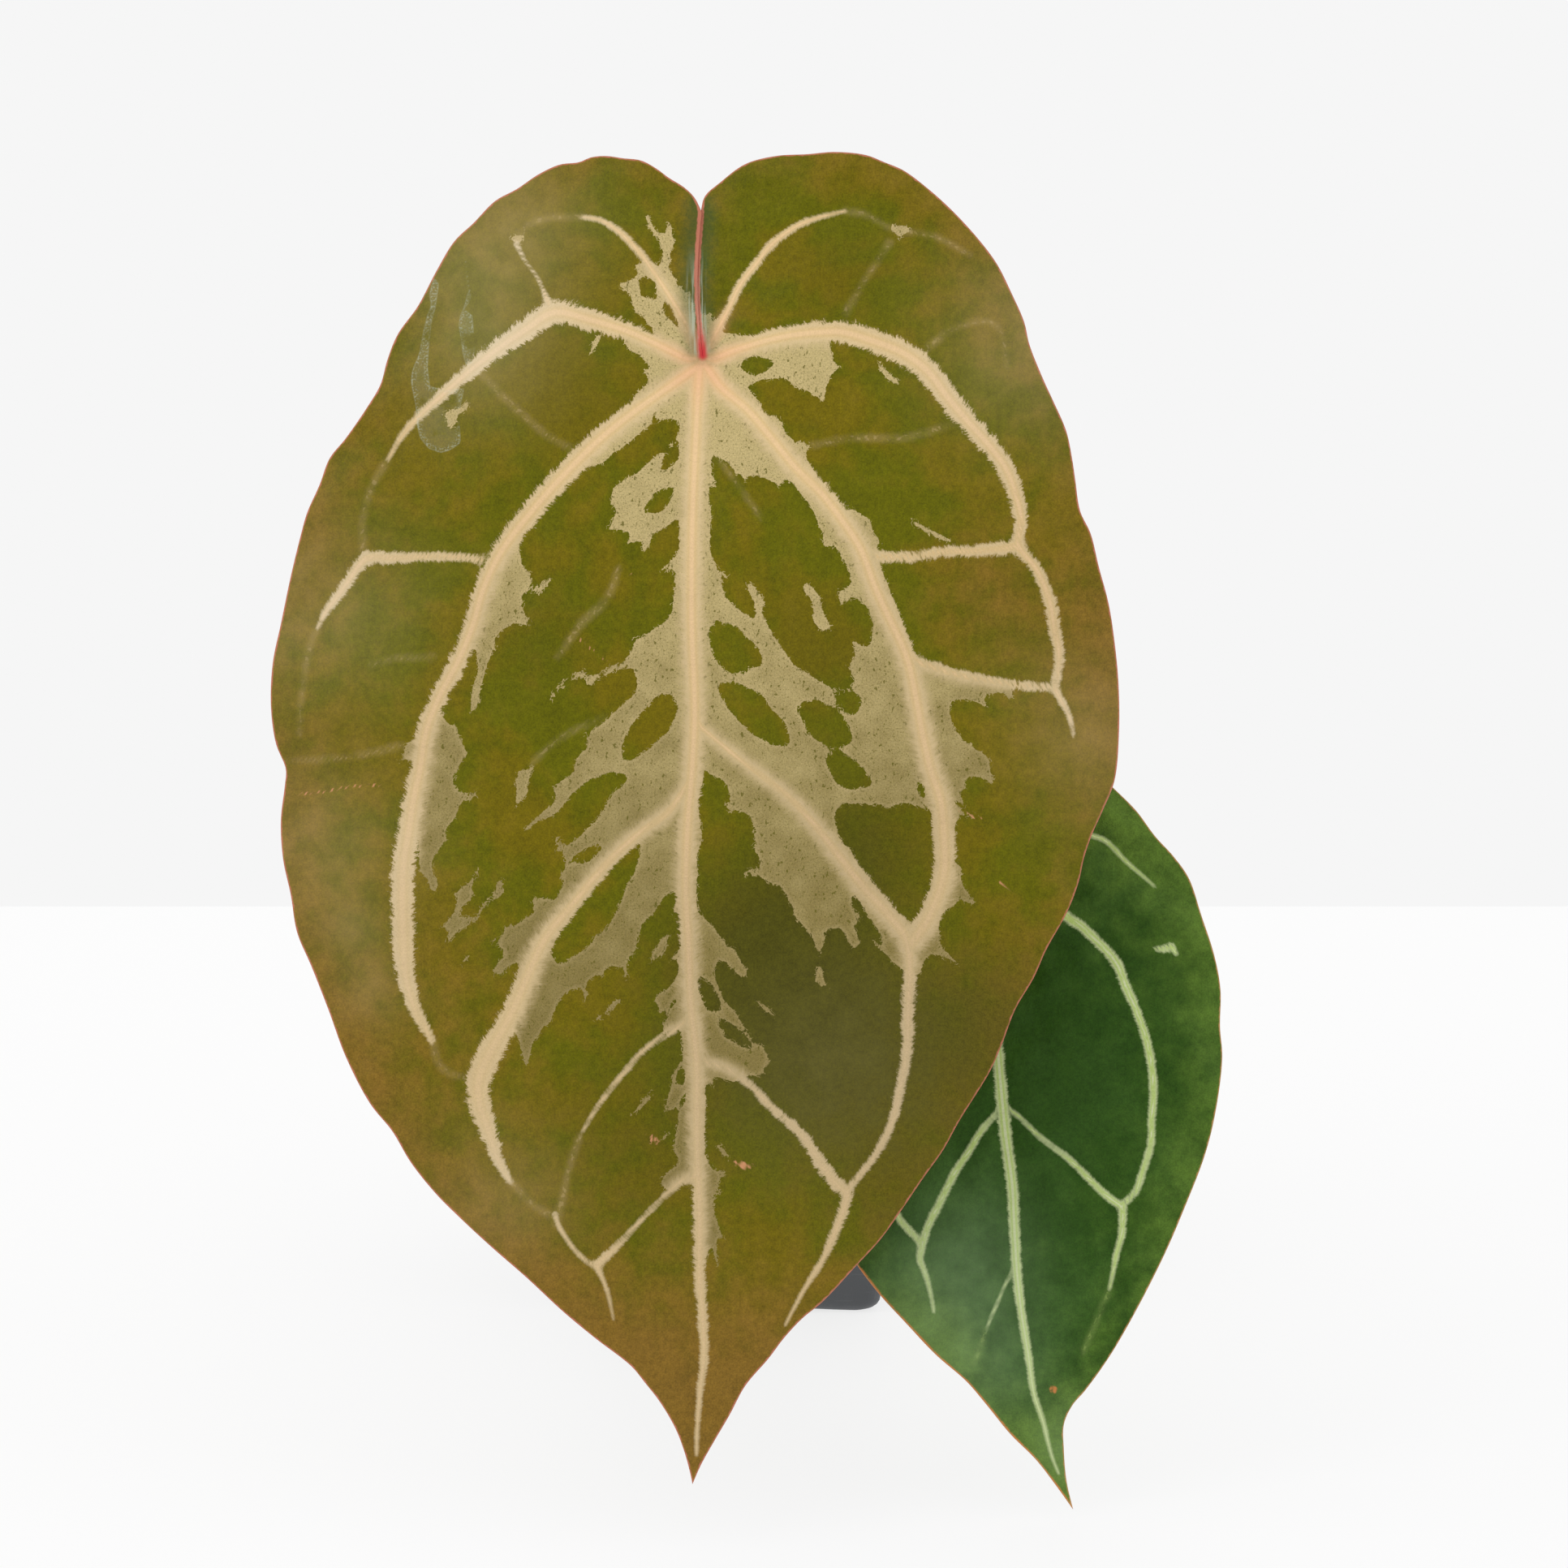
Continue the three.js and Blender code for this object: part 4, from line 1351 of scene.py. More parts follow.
    def store(self, blade: bpy.types.Object, edges: list[np.ndarray]) -> None:
        """Stores the distances that the material reads.

        Args:
            blade: the blade.
            edges: free edges of both halves.
        """
        spots = np.zeros(len(blade.data.vertices) * 3, np.float32)
        blade.data.attributes["spot"].data.foreach_get("vector", spots)
        points = spots.reshape(-1, 3)[:, :2].astype(float)
        vein, core, along, trace = self.vein_distances(points)
        edge = self.free_edge(points, edges)
        reach, none = self.mark_reach, np.zeros(len(points))
        rim = self.rim_bronze * np.exp(-((edge / self.rim_bronze_reach) ** 2))
        scars = (from_line(points, drawn(line), reach)[0] for line in self.scars)
        note(
            blade, vein=vein, core=core, along=along, trace=trace, edge=edge,
            silver=np.maximum.reduce([none - reach, *(patch.depth(points, reach) for patch in self.patches)]),
            scar=np.minimum.reduce([none + reach, *scars]),
            bronze=sum((zone.share(points) for zone in self.bronze), rim),
            deep=sum((zone.share(points) for zone in self.deep), none),
            sheen=sum((zone.share(points) for zone in self.sheen), none),
            slit=from_line(points, drawn(self.slit_line), 2 * reach)[0],
            drip=np.maximum.reduce([none - reach, *(patch.depth(points, reach) for patch in self.drips)]),
            joint=np.hypot(*points.T),
        )

    def front(self, points: np.ndarray, edges: list[np.ndarray]) -> np.ndarray:
        """Relief of the dressed blade's front at drawn points.

        Args:
            points: drawn points.
            edges: free edges of both halves.

        Returns:
            The relief.
        """
        edge = self.free_edge(points, edges)
        thinner = (self.thickness / 2 - self.margin_half) * (1 - ease(edge, 0, self.rim_taper))
        return self.relief(points) + self.small_relief(points, edge) - thinner

    def build_ribs(self) -> bpy.types.Object:
        """Builds the ribs under the blade, one body each, joined into one piece.

        Returns:
            The ribs.
        """
        bodies = []
        edges = self.edge_lines(self.drawn_spokes())
        for width, line in self.ribs:
            places = drawn(line)
            length = way_length(places)
            shares = np.linspace(0, 1, max(8, int(length / self.rib_gap)))
            way = smooth_way(places, shares)
            ahead = np.gradient(way, axis=0)
            ahead /= np.linalg.norm(ahead, axis=1)[:, None]
            beside = np.column_stack([-ahead[:, 1], ahead[:, 0]])
            half = width / 2 * (1 + (self.rib_end_share - 1) * shares)
            half = half * rounded_ends(shares, length, width / 2)
            turn = turns(self.rib_sides)
            across = np.cos(turn)[None, :, None] * (half[:, None] * beside)[:, None]
            flat = (way[:, None] + across).reshape(-1, 2)
            depth = self.rib_depth * half[:, None] + self.thickness / 2
            lift = (np.sin(turn) * np.where(turn < math.pi, 0.1, depth)).ravel()
            relief = self.front(flat, edges) - self.thickness * self.rib_inset + lift
            rings = self.place(flat, relief).reshape(-1, self.rib_sides, 3)
            body = skin(rings, rings[0].mean(0), rings[-1].mean(0))
            share = np.linspace(0, 1, len(body.data.vertices))
            note(body, turn=share * 6, run=share * length, blush=share * 0)
            bodies.append(body)
        name = self.name + "_ribs"
        return dress(joined(name, bodies), name, self.slot, self.rib_finish.material())


# ---------------------------------------------------------------- stalks, stem, roots, sheaths


@dataclass
class Tube:
    """Round plant part along a smooth way, with the marks that its finish reads."""

    name: str
    slot: Slot
    finish: StrandFinish
    way: np.ndarray
    radius: Callable[[np.ndarray], np.ndarray]
    blush: Callable[[np.ndarray], np.ndarray]
    seed: int
    sides: int = 32
    gap: float = 1.6
    rough: float = 0.03
    groove: float = 0.0
    groove_width: float = 0.5

    def build(self) -> bpy.types.Object:
        """Builds the tube, closed and a little uneven.

        Returns:
            The tube.
        """
        length = curve_length(self.way)
        count = max(12, int(length / self.gap))
        shares = np.linspace(0, 1, count)
        line = smooth_way(self.way, shares)
        radii = self.radius(shares)
        radii = radii * rounded_ends(shares, length, float(radii.min()) * 0.6)
        turn = turns(self.sides)
        uneven = 1 + self.rough * np.outer(wander(self.seed, count, 9), np.ones(self.sides))
        for wave in range(2, 5):
            uneven += self.rough / wave * np.sin(turn * wave + 3 * wander(self.seed + wave, count, 4)[:, None])
        uneven -= self.groove * np.exp(-(((turn - math.pi) / self.groove_width) ** 2))
        tube = skin(rings_along(line, radii, uneven), line[0], line[-1])
        places = points_of(tube) / MM
        gaps = ((places[:, None, :] - line[None]) ** 2).sum(2)
        at = gaps.argmin(1)
        away = places - line[at]
        share = at / (count - 1)
        note(tube, turn=np.arctan2(away[:, 1], away[:, 0]), run=share * length, blush=self.blush(share))
        return dress(tube, self.name, self.slot, self.finish.material(), [self.name])


@dataclass
class Stalk:
    """Leaf stalk from the stem to the back of a blade, swollen at both ends."""

    name: str
    finish: StrandFinish
    blade: Blade
    way: tuple[Triple, ...]
    foot_radius: float
    radius: float
    joint_radius: float
    rib_width: float
    joint_length: float = 19.0
    foot_share: float = 0.12
    square_end: float = 7.0
    rib_share: float = 0.55
    clear_of_blade: float = 0.6
    run_in: float = 1.1
    groove: float = 0.1
    seed: int = 5

    def build(self) -> bpy.types.Object:
        """Builds the stalk, which ends among the ribs behind the blade.

        Returns:
            The stalk.
        """
        joint = np.zeros((1, 2))
        end = self.blade.relief(joint) - self.blade.packed_thickness
        end = end - self.rib_width * self.rib_share - self.clear_of_blade
        last = [self.blade.place(joint, end + more) for more in (-self.square_end, self.run_in)]
        way = np.vstack([self.way, *last])
        length = curve_length(way)
        joint_share = self.joint_length / length

        def radius_at(shares: np.ndarray) -> np.ndarray:
            """Radius at shares of the length.

            Args:
                shares: the shares.

            Returns:
                The radii.
            """
            foot = np.clip(1 - shares / self.foot_share, 0, 1)
            swell = np.clip(1 - np.abs(1 - shares - joint_share / 2) / joint_share, 0, 1)
            slim = self.radius + (self.foot_radius - self.radius) * foot
            return slim + (self.joint_radius - slim) * ease(swell * 1.6, 0, 1)

        def blush_at(shares: np.ndarray) -> np.ndarray:
            """Blush at the joint and at the foot."""
            return 0.8 * ease(shares, 1 - joint_share, 1) + 0.5 * ease(shares, 0.08, 0)

        tube = Tube(self.name, Slot.STALK, self.finish, way, radius_at, blush_at, self.seed, groove=self.groove)
        return tube.build()


@dataclass
class Stem:
    """Short stout stem with leaf scars, root bumps and a rounded growing tip."""

    finish: StrandFinish
    foot_z: float = 56.0
    top_z: float = 113.0
    radius: float = 8.0
    tip_radius: float = 5.6
    mix_level: float = 77.0
    scars: tuple[float, ...] = (66, 73, 80, 85.5, 90, 94.5, 98.5, 102, 105)
    inset: float = 0.5
    scar_height: float = 0.55
    scar_width: float = 0.55
    scar_tilt: float = 1.1
    scar_turn: float = 2.4
    groove_depth: float = 0.25
    bud_height: float = 0.8
    foot_rounding: float = 4.0
    ring_gap: float = 0.6
    sides: int = 56

    def build(self) -> bpy.types.Object:
        """Builds the stem with its scars and buds.

        Returns:
            The stem.
        """
        neck = self.top_z - self.tip_radius
        tip = neck + self.tip_radius * np.linspace(0, 0.995, 14)
        heights = np.concatenate([np.arange(self.foot_z, neck, self.ring_gap), tip])
        turn = turns(self.sides)
        rings = []
        for z in heights:
            slope = np.clip((z - self.mix_level) / (neck - self.mix_level), 0, 1)
            radius = self.radius + (self.tip_radius - self.radius) * slope - self.inset
            if z > neck:
                radius *= math.sqrt(max(0.0, 1 - ((z - neck) / self.tip_radius) ** 2))
            if z < self.foot_z + self.foot_rounding:
                share = (self.foot_z + self.foot_rounding - z) / self.foot_rounding
                radius *= math.sqrt(max(0.02, 1 - share**2))
            size = np.full(self.sides, radius)
            for number, level in enumerate(self.scars):
                tilt = level + self.scar_tilt * np.sin(turn + number * self.scar_turn)
                size += self.scar_height * np.exp(-(((z - tilt) / self.scar_width) ** 2))
                size -= self.groove_depth * np.exp(-(((z - tilt + 1.6) / 0.8) ** 2))
                bud = turn - (number * self.scar_turn) % FULL_TURN
                size += self.bud_height * np.exp(-((bud / 0.22) ** 2) - (z - tilt - 1.2) ** 2)
            size += 0.12 * np.sin(7 * turn + z * 0.8) + 0.08 * np.sin(13 * turn - z * 1.3)
            rings.append(np.column_stack([size * np.cos(turn), size * np.sin(turn), np.full(self.sides, z)]))
        stem = skin(rings, np.array([0, 0, self.foot_z]), np.array([0, 0, self.top_z]))
        x, y, z = (points_of(stem) / MM).T
        note(stem, turn=np.arctan2(y, x), run=z, blush=0.7 * ease(z, 100, 112))
        return dress(stem, "stem", Slot.STEM, self.finish.material(), ["stem"])


@dataclass
class Sheath:
    """Dry sheath: a thin torn pointed shell round one side of the stem."""

    name: str
    angle: float
    spread: float
    height: float
    foot_z: float
    seed: int
    radius: float = 7.3
    lean: float = 0.13
    thickness: float = 0.35
    columns: int = 44
    rows: int = 40

    def build(self, material: bpy.types.Material) -> bpy.types.Object:
        """Builds the sheath, with its folds and torn top.

        Args:
            material: its material.

        Returns:
            The sheath.
        """
        torn = wander(self.seed, self.columns + 1, 16) * 0.06 + wander(self.seed + 1, self.columns + 1, 6) * 0.05

        def place(column: np.ndarray, row: np.ndarray) -> np.ndarray:
            """Places of grid points.

            Args:
                column: their columns.
                row: their rows.

            Returns:
                The places.
            """
            across = column / self.columns
            up = row / self.rows
            reach = self.height * (1 - 0.8 * np.abs(2 * across - 1) ** 1.7)
            reach = reach * (0.95 + torn[column])
            turn = np.radians(self.angle + self.spread * (across - 0.5) * (1 - 0.35 * up))
            fold = 0.16 * np.sin(across * 46 + self.seed) * up + 0.4 * np.sin(up * 5 + across * 7) * up
            radius = self.radius + 0.3 + self.lean * reach * up + fold
            return np.column_stack([radius * np.cos(turn), radius * np.sin(turn), self.foot_z + reach * up])

        sheath = grid_sheet(self.columns, self.rows, place)
        up, across = divmod(np.arange(len(sheath.data.vertices)), self.columns + 1)
        note(sheath, across=across / self.columns, up=up / self.rows)
        modified(sheath, "SOLIDIFY", thickness=self.thickness * MM, offset=0.0)
        smooth(sheath)
        return dress(sheath, self.name, Slot.SHEATH, material, [self.name])


# ---------------------------------------------------------------- pot and mix


@dataclass
class Pot:
    """Square nursery pot: rounded corners, arched foot, turned-out rim and drain holes."""

    finish: PlasticFinish
    height: float = 90.0
    rim_half: float = 50.0
    neck_half: float = 46.5
    foot_half: float = 37.6
    wall: float = 1.5
    floor: float = 2.4
    rim_drop: float = 9.0
    foot_corner: float = 8.0
    foot_rounding: float = 3.6
    lip: float = 1.0
    arch: float = 1.0
    drain_radius: float = 4.2
    drain_sides: int = 28
    drain_cut: float = 12.0
    drains: tuple[tuple[float, float], ...] = (
        (19, 19), (-19, 19), (-19, -19), (19, -19), (24, 0), (0, 24), (-24, 0), (0, -24),
    )
    side_cuts: int = 11
    corner_cuts: int = 9
    sharp: float = 32.0

    def inner_half(self, z: float) -> float:
        """Half width of the inner wall at a height."""
        share = z / (self.height - self.rim_drop)
        return self.foot_half + (self.neck_half - self.foot_half) * share - self.wall

    def profile(self) -> list[tuple[float, float]]:
        """Half widths and heights, up the outside and down the inside to the floor.

        Returns:
            One pair for each bend.
        """
        neck, top, floor = self.height - self.rim_drop, self.height, self.floor
        inner, rim, lip, soft = self.inner_half(neck), self.rim_half, self.lip, self.foot_rounding
        turn = [math.radians(angle) for angle in (18, 36, 54, 72, 90)]
        return [
            *((self.foot_half - soft * (1 - math.sin(a)), soft * (1 - math.cos(a))) for a in turn),
            (self.neck_half, neck), (self.neck_half + 0.4, neck + 0.15),
            (rim - 0.9, neck + 0.6), (rim - 0.55, neck + 1.2), (rim - 0.1, top - lip), (rim - 0.35, top - 0.35),
            (rim - lip, top), (rim - 1.65, top - 0.35), (rim - 1.95, top - lip), (inner + 2.9, neck + 2.4),
            (inner + 2.2, neck + 1.7), (inner + 0.5, neck + 1.2), (inner, neck - 0.6),
            (self.inner_half(floor + 2), floor + 2),
            (self.inner_half(floor) - 1, floor + 0.5), (self.inner_half(floor) - 2, floor),
        ]

    def build(self) -> bpy.types.Object:
        """Builds the pot: its profile drawn up from a rounded square, arches and drain holes.

        Returns:
            The pot.
        """
        foot = self.foot_half - self.foot_rounding
        pot = started(bpy.ops.mesh.primitive_plane_add, size=2 * foot * MM)
        corner = (self.foot_corner - self.foot_rounding) * MM
        with editing(pot):
            bpy.ops.mesh.bevel(offset=corner, segments=self.corner_cuts, affect="VERTICES", offset_type="OFFSET")
            bpy.ops.mesh.select_all(action="DESELECT")
        for edge in pot.data.edges:
            ends = [pot.data.vertices[v].co for v in edge.vertices]
            edge.select = (ends[0] - ends[1]).length > 0.02
        bpy.ops.object.mode_set(mode="EDIT")
        bpy.ops.mesh.select_mode(type="EDGE")
        bpy.ops.mesh.subdivide(number_cuts=self.side_cuts)
        bpy.ops.mesh.select_mode(type="FACE")
        bpy.ops.mesh.select_all(action="SELECT")
        half, height = foot, 0.0
        for next_half, next_height in self.profile():
            rise = (0, 0, (next_height - height) * MM)
            bpy.ops.mesh.extrude_region_move(TRANSFORM_OT_translate={"value": rise})
            share = next_half / half
            bpy.ops.transform.resize(value=(share, share, 1), center_override=(0, 0, next_height * MM))
            half, height = next_half, next_height
        bpy.ops.mesh.select_all(action="SELECT")
        bpy.ops.mesh.normals_make_consistent(inside=False)
        bpy.ops.object.mode_set(mode="OBJECT")
        self.raise_arches(pot)
        self.cut_drains(pot)
        smooth(pot, self.sharp)
        return dress(pot, "pot", Slot.POT, self.finish.material(), ["pot"])

    def raise_arches(self, pot: bpy.types.Object) -> None:
        """Lifts the foot between the corners, so that the pot stands on its corners and middle.

        Args:
            pot: the pot.
        """
        places = points_of(pot) / MM
        low = places[:, 2] < self.foot_rounding - 0.1
        reach = np.minimum(np.abs(places[:, 0]), np.abs(places[:, 1])) / (self.foot_half - self.foot_corner)
        rise = self.arch * np.cos(np.clip(reach, 0, 1) * math.pi / 2) ** 1.2
        places[:, 2] += np.where(low, rise * (1 - places[:, 2] / self.foot_rounding), 0)
        place_points(pot, places * MM)

    def cut_drains(self, pot: bpy.types.Object) -> None:
        """Cuts the drain holes through the floor.

        Args:
            pot: the pot.
        """
        cutters = [
            started(
                bpy.ops.mesh.primitive_cylinder_add, vertices=self.drain_sides, radius=self.drain_radius * MM,
                depth=self.drain_cut * MM, location=(x * MM, y * MM, MM),
            )
            for x, y in self.drains
        ]
        cutter = joined("drain_cutter", cutters)
        modified(pot, "BOOLEAN", object=cutter, operation="DIFFERENCE", solver="EXACT")
        bpy.data.objects.remove(cutter)


@dataclass
class PottingMix:
    """Coarse mix: a rough mound in the pot, with bark and pumice lying on it."""

    body_finish: CrumbFinish
    bark_finish: CrumbFinish
    pumice_finish: CrumbFinish
    pot: Pot
    level: float = 77.0
    mound: float = 4.0
    spread_half: float = 46.5
    gap: float = 0.3
    corner: float = 7.0
    bed: float = 1.4
    sides: int = 112
    bark_sizes: tuple[Triple, ...] = (
        (8.4, 5, 2.6), (6.4, 5.4, 3), (10, 4.2, 2.4), (5, 4.4, 3.2), (7.4, 6.4, 2.2),
    )
    bark_count: int = 330
    pumice_sizes: tuple[Triple, ...] = ((3.4, 3, 2.6), (4.4, 3.6, 3), (2.6, 2.4, 2))
    pumice_count: int = 120
    seed: int = 21
    bark_seed: int = 40
    pumice_seed: int = 60
    clear_of_stem: float = 11.0
    clear_of_wall: float = 3.2
    corner_share: float = 1.86
    crumb_tilt: float = 0.32
    crumb_rise: tuple[float, float] = (-1.4, 1.3)
    sharp: float = 34.0

    def level_at(self, x: np.ndarray, y: np.ndarray) -> np.ndarray:
        """Surface level at a place, a low mound round the stem."""
        away = np.hypot(x, y) / self.spread_half
        return self.level + self.mound * np.clip(1 - away**2, 0, 1)

    def ring(self, half: float, corner: float, z: float) -> np.ndarray:
        """Ring of a rounded square.

        Args:
            half: its half width.
            corner: radius of its corners.
            z: its height.

        Returns:
            Its points.
        """
        turn = (np.arange(self.sides) + 0.5) / self.sides * FULL_TURN
        x, y = np.cos(turn), np.sin(turn)
        power = 2 + 14 * (1 - corner / max(half, corner + 0.01))
        size = half / (np.abs(x) ** power + np.abs(y) ** power) ** (1 / power)
        return np.column_stack([x * size, y * size, np.full(self.sides, z)])

    def build_body(self) -> bpy.types.Object:
        """Builds the mound, a little rough on top.

        Returns:
            The mound.
        """
        floor = self.pot.floor
        edge = self.pot.inner_half(self.level) - self.gap
        low = self.pot.inner_half(floor + 2) - self.gap
        rings = [self.ring((low - 2) * share, 6 * share, floor + self.gap) for share in (0.3, 0.7, 1.0)]
        rings.append(self.ring(low, 6.5, floor + 2 + self.gap))
        rings.append(self.ring(edge, self.corner, self.level - 3))
        for share in np.linspace(1, 0.02, 46):
            ring = self.ring(edge * share, self.corner * share, 0)
            x, y = ring[:, 0], ring[:, 1]
            rough = 0.9 * np.sin(x * 0.7 + 2) * np.sin(y * 0.8) + 0.5 * np.sin(x * 1.9 + y * 0.6)
            rough += 0.4 * np.sin(y * 2.3 - x * 0.9 + 1)
            ring[:, 2] = self.level_at(x, y) - self.bed + rough * min(1, (1 - share) * 12)
            rings.append(ring)
        top = self.level + self.mound - self.bed
        body = skin(rings, np.array([0, 0, floor + self.gap]), np.array([0, 0, top]))
        note(body, tone=np.full(len(body.data.vertices), 0.4))
        return dress(body, "potting_mix", Slot.MIX, self.body_finish.material(), ["potting_mix"])

    def crumb(self, size: Triple, seed: int, blunt: float) -> bpy.types.Object:
        """One crumb: a broken block with a few dozen faces.

        Args:
            size: its size.
            seed: seed of the draws.
            blunt: how rounded it is.

        Returns:
            The crumb.
        """
        rng = np.random.default_rng(seed)
        crumb = started(bpy.ops.mesh.primitive_cube_add, size=2)
        with editing(crumb):
            bpy.ops.mesh.subdivide(number_cuts=1, smoothness=blunt)
        places = points_of(crumb) + rng.normal(0, 0.12, (len(crumb.data.vertices), 3))
        place_points(crumb, places * np.array(size) / 2 * MM)
        return crumb

    def scatter(
        self, name: str, kinds: list[bpy.types.Object], count: int, sizes: tuple[float, float], seed: int,
        material: bpy.types.Material,
    ) -> bpy.types.Object:
        """Lays copies of crumbs over the mix.

        Args:
            name: name of the piece.
            kinds: crumbs to copy.
            count: how many copies.
            sizes: smallest and largest size factor.
            seed: seed of the draws.
            material: material of the piece.

        Returns:
            All copies as one piece.
        """
        rng = np.random.default_rng(seed)
        reach = self.pot.inner_half(self.level) - self.clear_of_wall
        laid = []
        for number in range(count):
            kind = kinds[number % len(kinds)]
            copy = kind.copy()
            copy.data = kind.data.copy()
            bpy.context.scene.collection.objects.link(copy)
            while True:
                x, y = rng.uniform(-reach, reach, 2)
                if math.hypot(x, y) > self.clear_of_stem and abs(x) + abs(y) < reach * self.corner_share:
                    break
            size = rng.uniform(*sizes)
            spin = [*rng.normal(0, self.crumb_tilt, 2), rng.uniform(0, FULL_TURN)]
            places = points_of(copy) * size
            for angle, axes in zip(spin, ([1, 2], [2, 0], [0, 1])):
                first, second = places[:, axes].T
                cosine, sine = math.cos(angle), math.sin(angle)
                ahead, aside = first * cosine - second * sine, first * sine + second * cosine
                places[:, axes] = np.column_stack([ahead, aside])
            z = float(self.level_at(np.array(x), np.array(y))) + rng.uniform(*self.crumb_rise)
            places += np.array([x, y, z]) * MM
            place_points(copy, places)
            note(copy, tone=np.full(len(places), rng.uniform(0, 1)))
            laid.append(copy)
        for kind in kinds:
            bpy.data.objects.remove(kind)
        piece = joined(name, laid)
        weld(piece)
        smooth(piece, self.sharp)
        return dress(piece, name, Slot.MIX, material)

    def build(self) -> list[bpy.types.Object]:
        """Builds the mound and all that lies on it.

        Returns:
            The pieces.
        """
        bark = [self.crumb(size, self.bark_seed + at, 0.1) for at, size in enumerate(self.bark_sizes)]
        pumice = [self.crumb(size, self.pumice_seed + at, 0.55) for at, size in enumerate(self.pumice_sizes)]
        chips, stones = self.bark_finish, self.pumice_finish
        return [
            self.build_body(),
            self.scatter("bark", bark, self.bark_count, (0.55, 1.1), self.seed, chips.material()),
            self.scatter("pumice", pumice, self.pumice_count, (0.6, 1.1), self.seed + 1, stones.material()),
        ]


# ---------------------------------------------------------------- studio


@dataclass(frozen=True)
class Lamp:
    """Round lamp: its place and width in metres, its power in watts and its colour."""

    place: Triple
    size: float
    power: float
    colour: Triple = (1.0, 1.0, 1.0)


@dataclass
class Studio:
    """Pale floor that ends against plain daylight, soft lamps and the camera at the sight point."""

    floor: StudioFinish
    floor_end: float = 413.6
    reach: float = 3200.0
    lens: float = 102.48
    sensor: float = 36.0
    lamps: tuple[Lamp, ...] = (
        Lamp((-1.6, -1.0, 1.6), 2.0, 13.0, (1.0, 0.995, 0.985)),
        Lamp((1.5, -1.1, 1.4), 2.0, 4.0),
        Lamp((0.0, -0.2, 2.2), 2.4, 4.0),
    )
    aim: Triple = (0.0, -0.05, 0.17)
    daylight: float = 0.78
    wall: Colour = tint(246, 246, 246)

    def build(self) -> None:
        """Builds the studio."""
        self.lay_floor()
        for number, kind in enumerate(self.lamps):
            lamp = started(bpy.ops.object.light_add, type="AREA", location=kind.place)
            lamp.name = f"lamp_{number + 1}"
            lamp.data.shape = "DISK"
            lamp.data.size = kind.size
            lamp.data.energy = kind.power
            lamp.data.color = kind.colour
            ahead = lamp.location - type(lamp.location)(self.aim)
            lamp.rotation_euler = ahead.to_track_quat("Z", "Y").to_euler()
        self.light_world()
        tilt = (math.pi / 2 - SIGHT_TILT, 0, 0)
        camera = started(bpy.ops.object.camera_add, location=tuple(SIGHT * MM), rotation=tilt)
        camera.name = "camera"
        camera.data.lens = self.lens
        camera.data.sensor_width = self.sensor
        bpy.context.scene.camera = camera
        bpy.context.scene.view_settings.view_transform = "Standard"

    def light_world(self) -> None:
        """Even daylight, seen by the camera as a plain pale wall."""
        world = bpy.data.worlds.new("daylight")
        bpy.context.scene.world = world
        world.use_nodes = True
        wires = Wiring(world.node_tree)
        light = wires.out(wires.node("Background", None, {"Color": WHITE, "Strength": self.daylight}))
        wall = wires.out(wires.node("Background", None, {"Color": self.wall}))
        seen = wires.out(wires.node("LightPath"), "Is Camera Ray")
        choice = wires.node("MixShader", None, {0: seen, 1: light, 2: wall})
        wires.node("OutputWorld", None, {"Surface": wires.out(choice)})

    def lay_floor(self) -> None:
        """The floor, which ends a little way behind the plant."""
        floor = started(bpy.ops.mesh.primitive_plane_add, size=2 * self.reach * MM)
        places = points_of(floor)
        places[:, 1] += (self.floor_end - self.reach) * MM
        place_points(floor, places)
        floor.name = "floor"
        floor.data.materials.append(self.floor.material())


# ---------------------------------------------------------------- this plant's finishes

BRONZE_LEAF = LeafFinish(
    name="bronze_leaf",
    ground=tint(98, 97, 4),
    ground_warm=tint(114, 98, 8),
    bronze=tint(129, 99, 36),
    deep=tint(76, 73, 12),
    silver=tint(192, 173, 120),
    silver_shade=tint(132, 117, 66),
    speck=tint(96, 90, 26),
    vein=tint(206, 182, 138),
    core=tint(219, 187, 142),
    flank=tint(206, 178, 128),
    margin=tint(206, 124, 104),
    joint=tint(196, 58, 60),
    scar=tint(214, 150, 110),
    under=tint(142, 132, 92),
    under_vein=tint(176, 140, 112),
    reflection_and_water_mark=tint(194, 202, 182),
    blush=tint(236, 168, 128),
    fold_shade=tint(58, 84, 44),
    sheen=tint(190, 172, 120),
    glare=tint(238, 226, 202),
)
GREEN_LEAF = LeafFinish(
    name="green_leaf",
    ground=tint(46, 78, 20),
    ground_warm=tint(58, 90, 32),
    bronze=tint(94, 122, 44),
    deep=tint(36, 68, 12),
    silver=tint(150, 175, 120),
    silver_shade=tint(120, 150, 90),
    speck=tint(60, 90, 30),
    vein=tint(194, 206, 150),
    core=tint(208, 216, 168),
    flank=tint(178, 200, 112),
    margin=tint(204, 148, 96),
    joint=tint(170, 150, 90),
    scar=tint(205, 130, 75),
    under=tint(112, 132, 84),
    under_vein=tint(150, 166, 108),
    reflection_and_water_mark=tint(110, 140, 100),
    blush=tint(170, 150, 90),
    fold_shade=tint(40, 66, 30),
    sheen=tint(136, 164, 120),
    glare=tint(190, 208, 160),
    fringe=0.6,
    margin_width=0.42,
)
BRONZE_RIB = StrandFinish("bronze_rib", *tints("176,132,96 190,150,112 150,100,76 190,96,86"))
GREEN_RIB = StrandFinish("green_rib", *tints("146,164,98 160,176,112 124,140,76 170,150,90"))
LARGE_STALK_FINISH = StrandFinish("large_stalk", *tints("126,104,58 146,118,70 106,72,46 178,118,86"))
SMALL_STALK_FINISH = StrandFinish("small_stalk", *tints("98,116,52 118,134,66 92,84,44 146,142,82"))
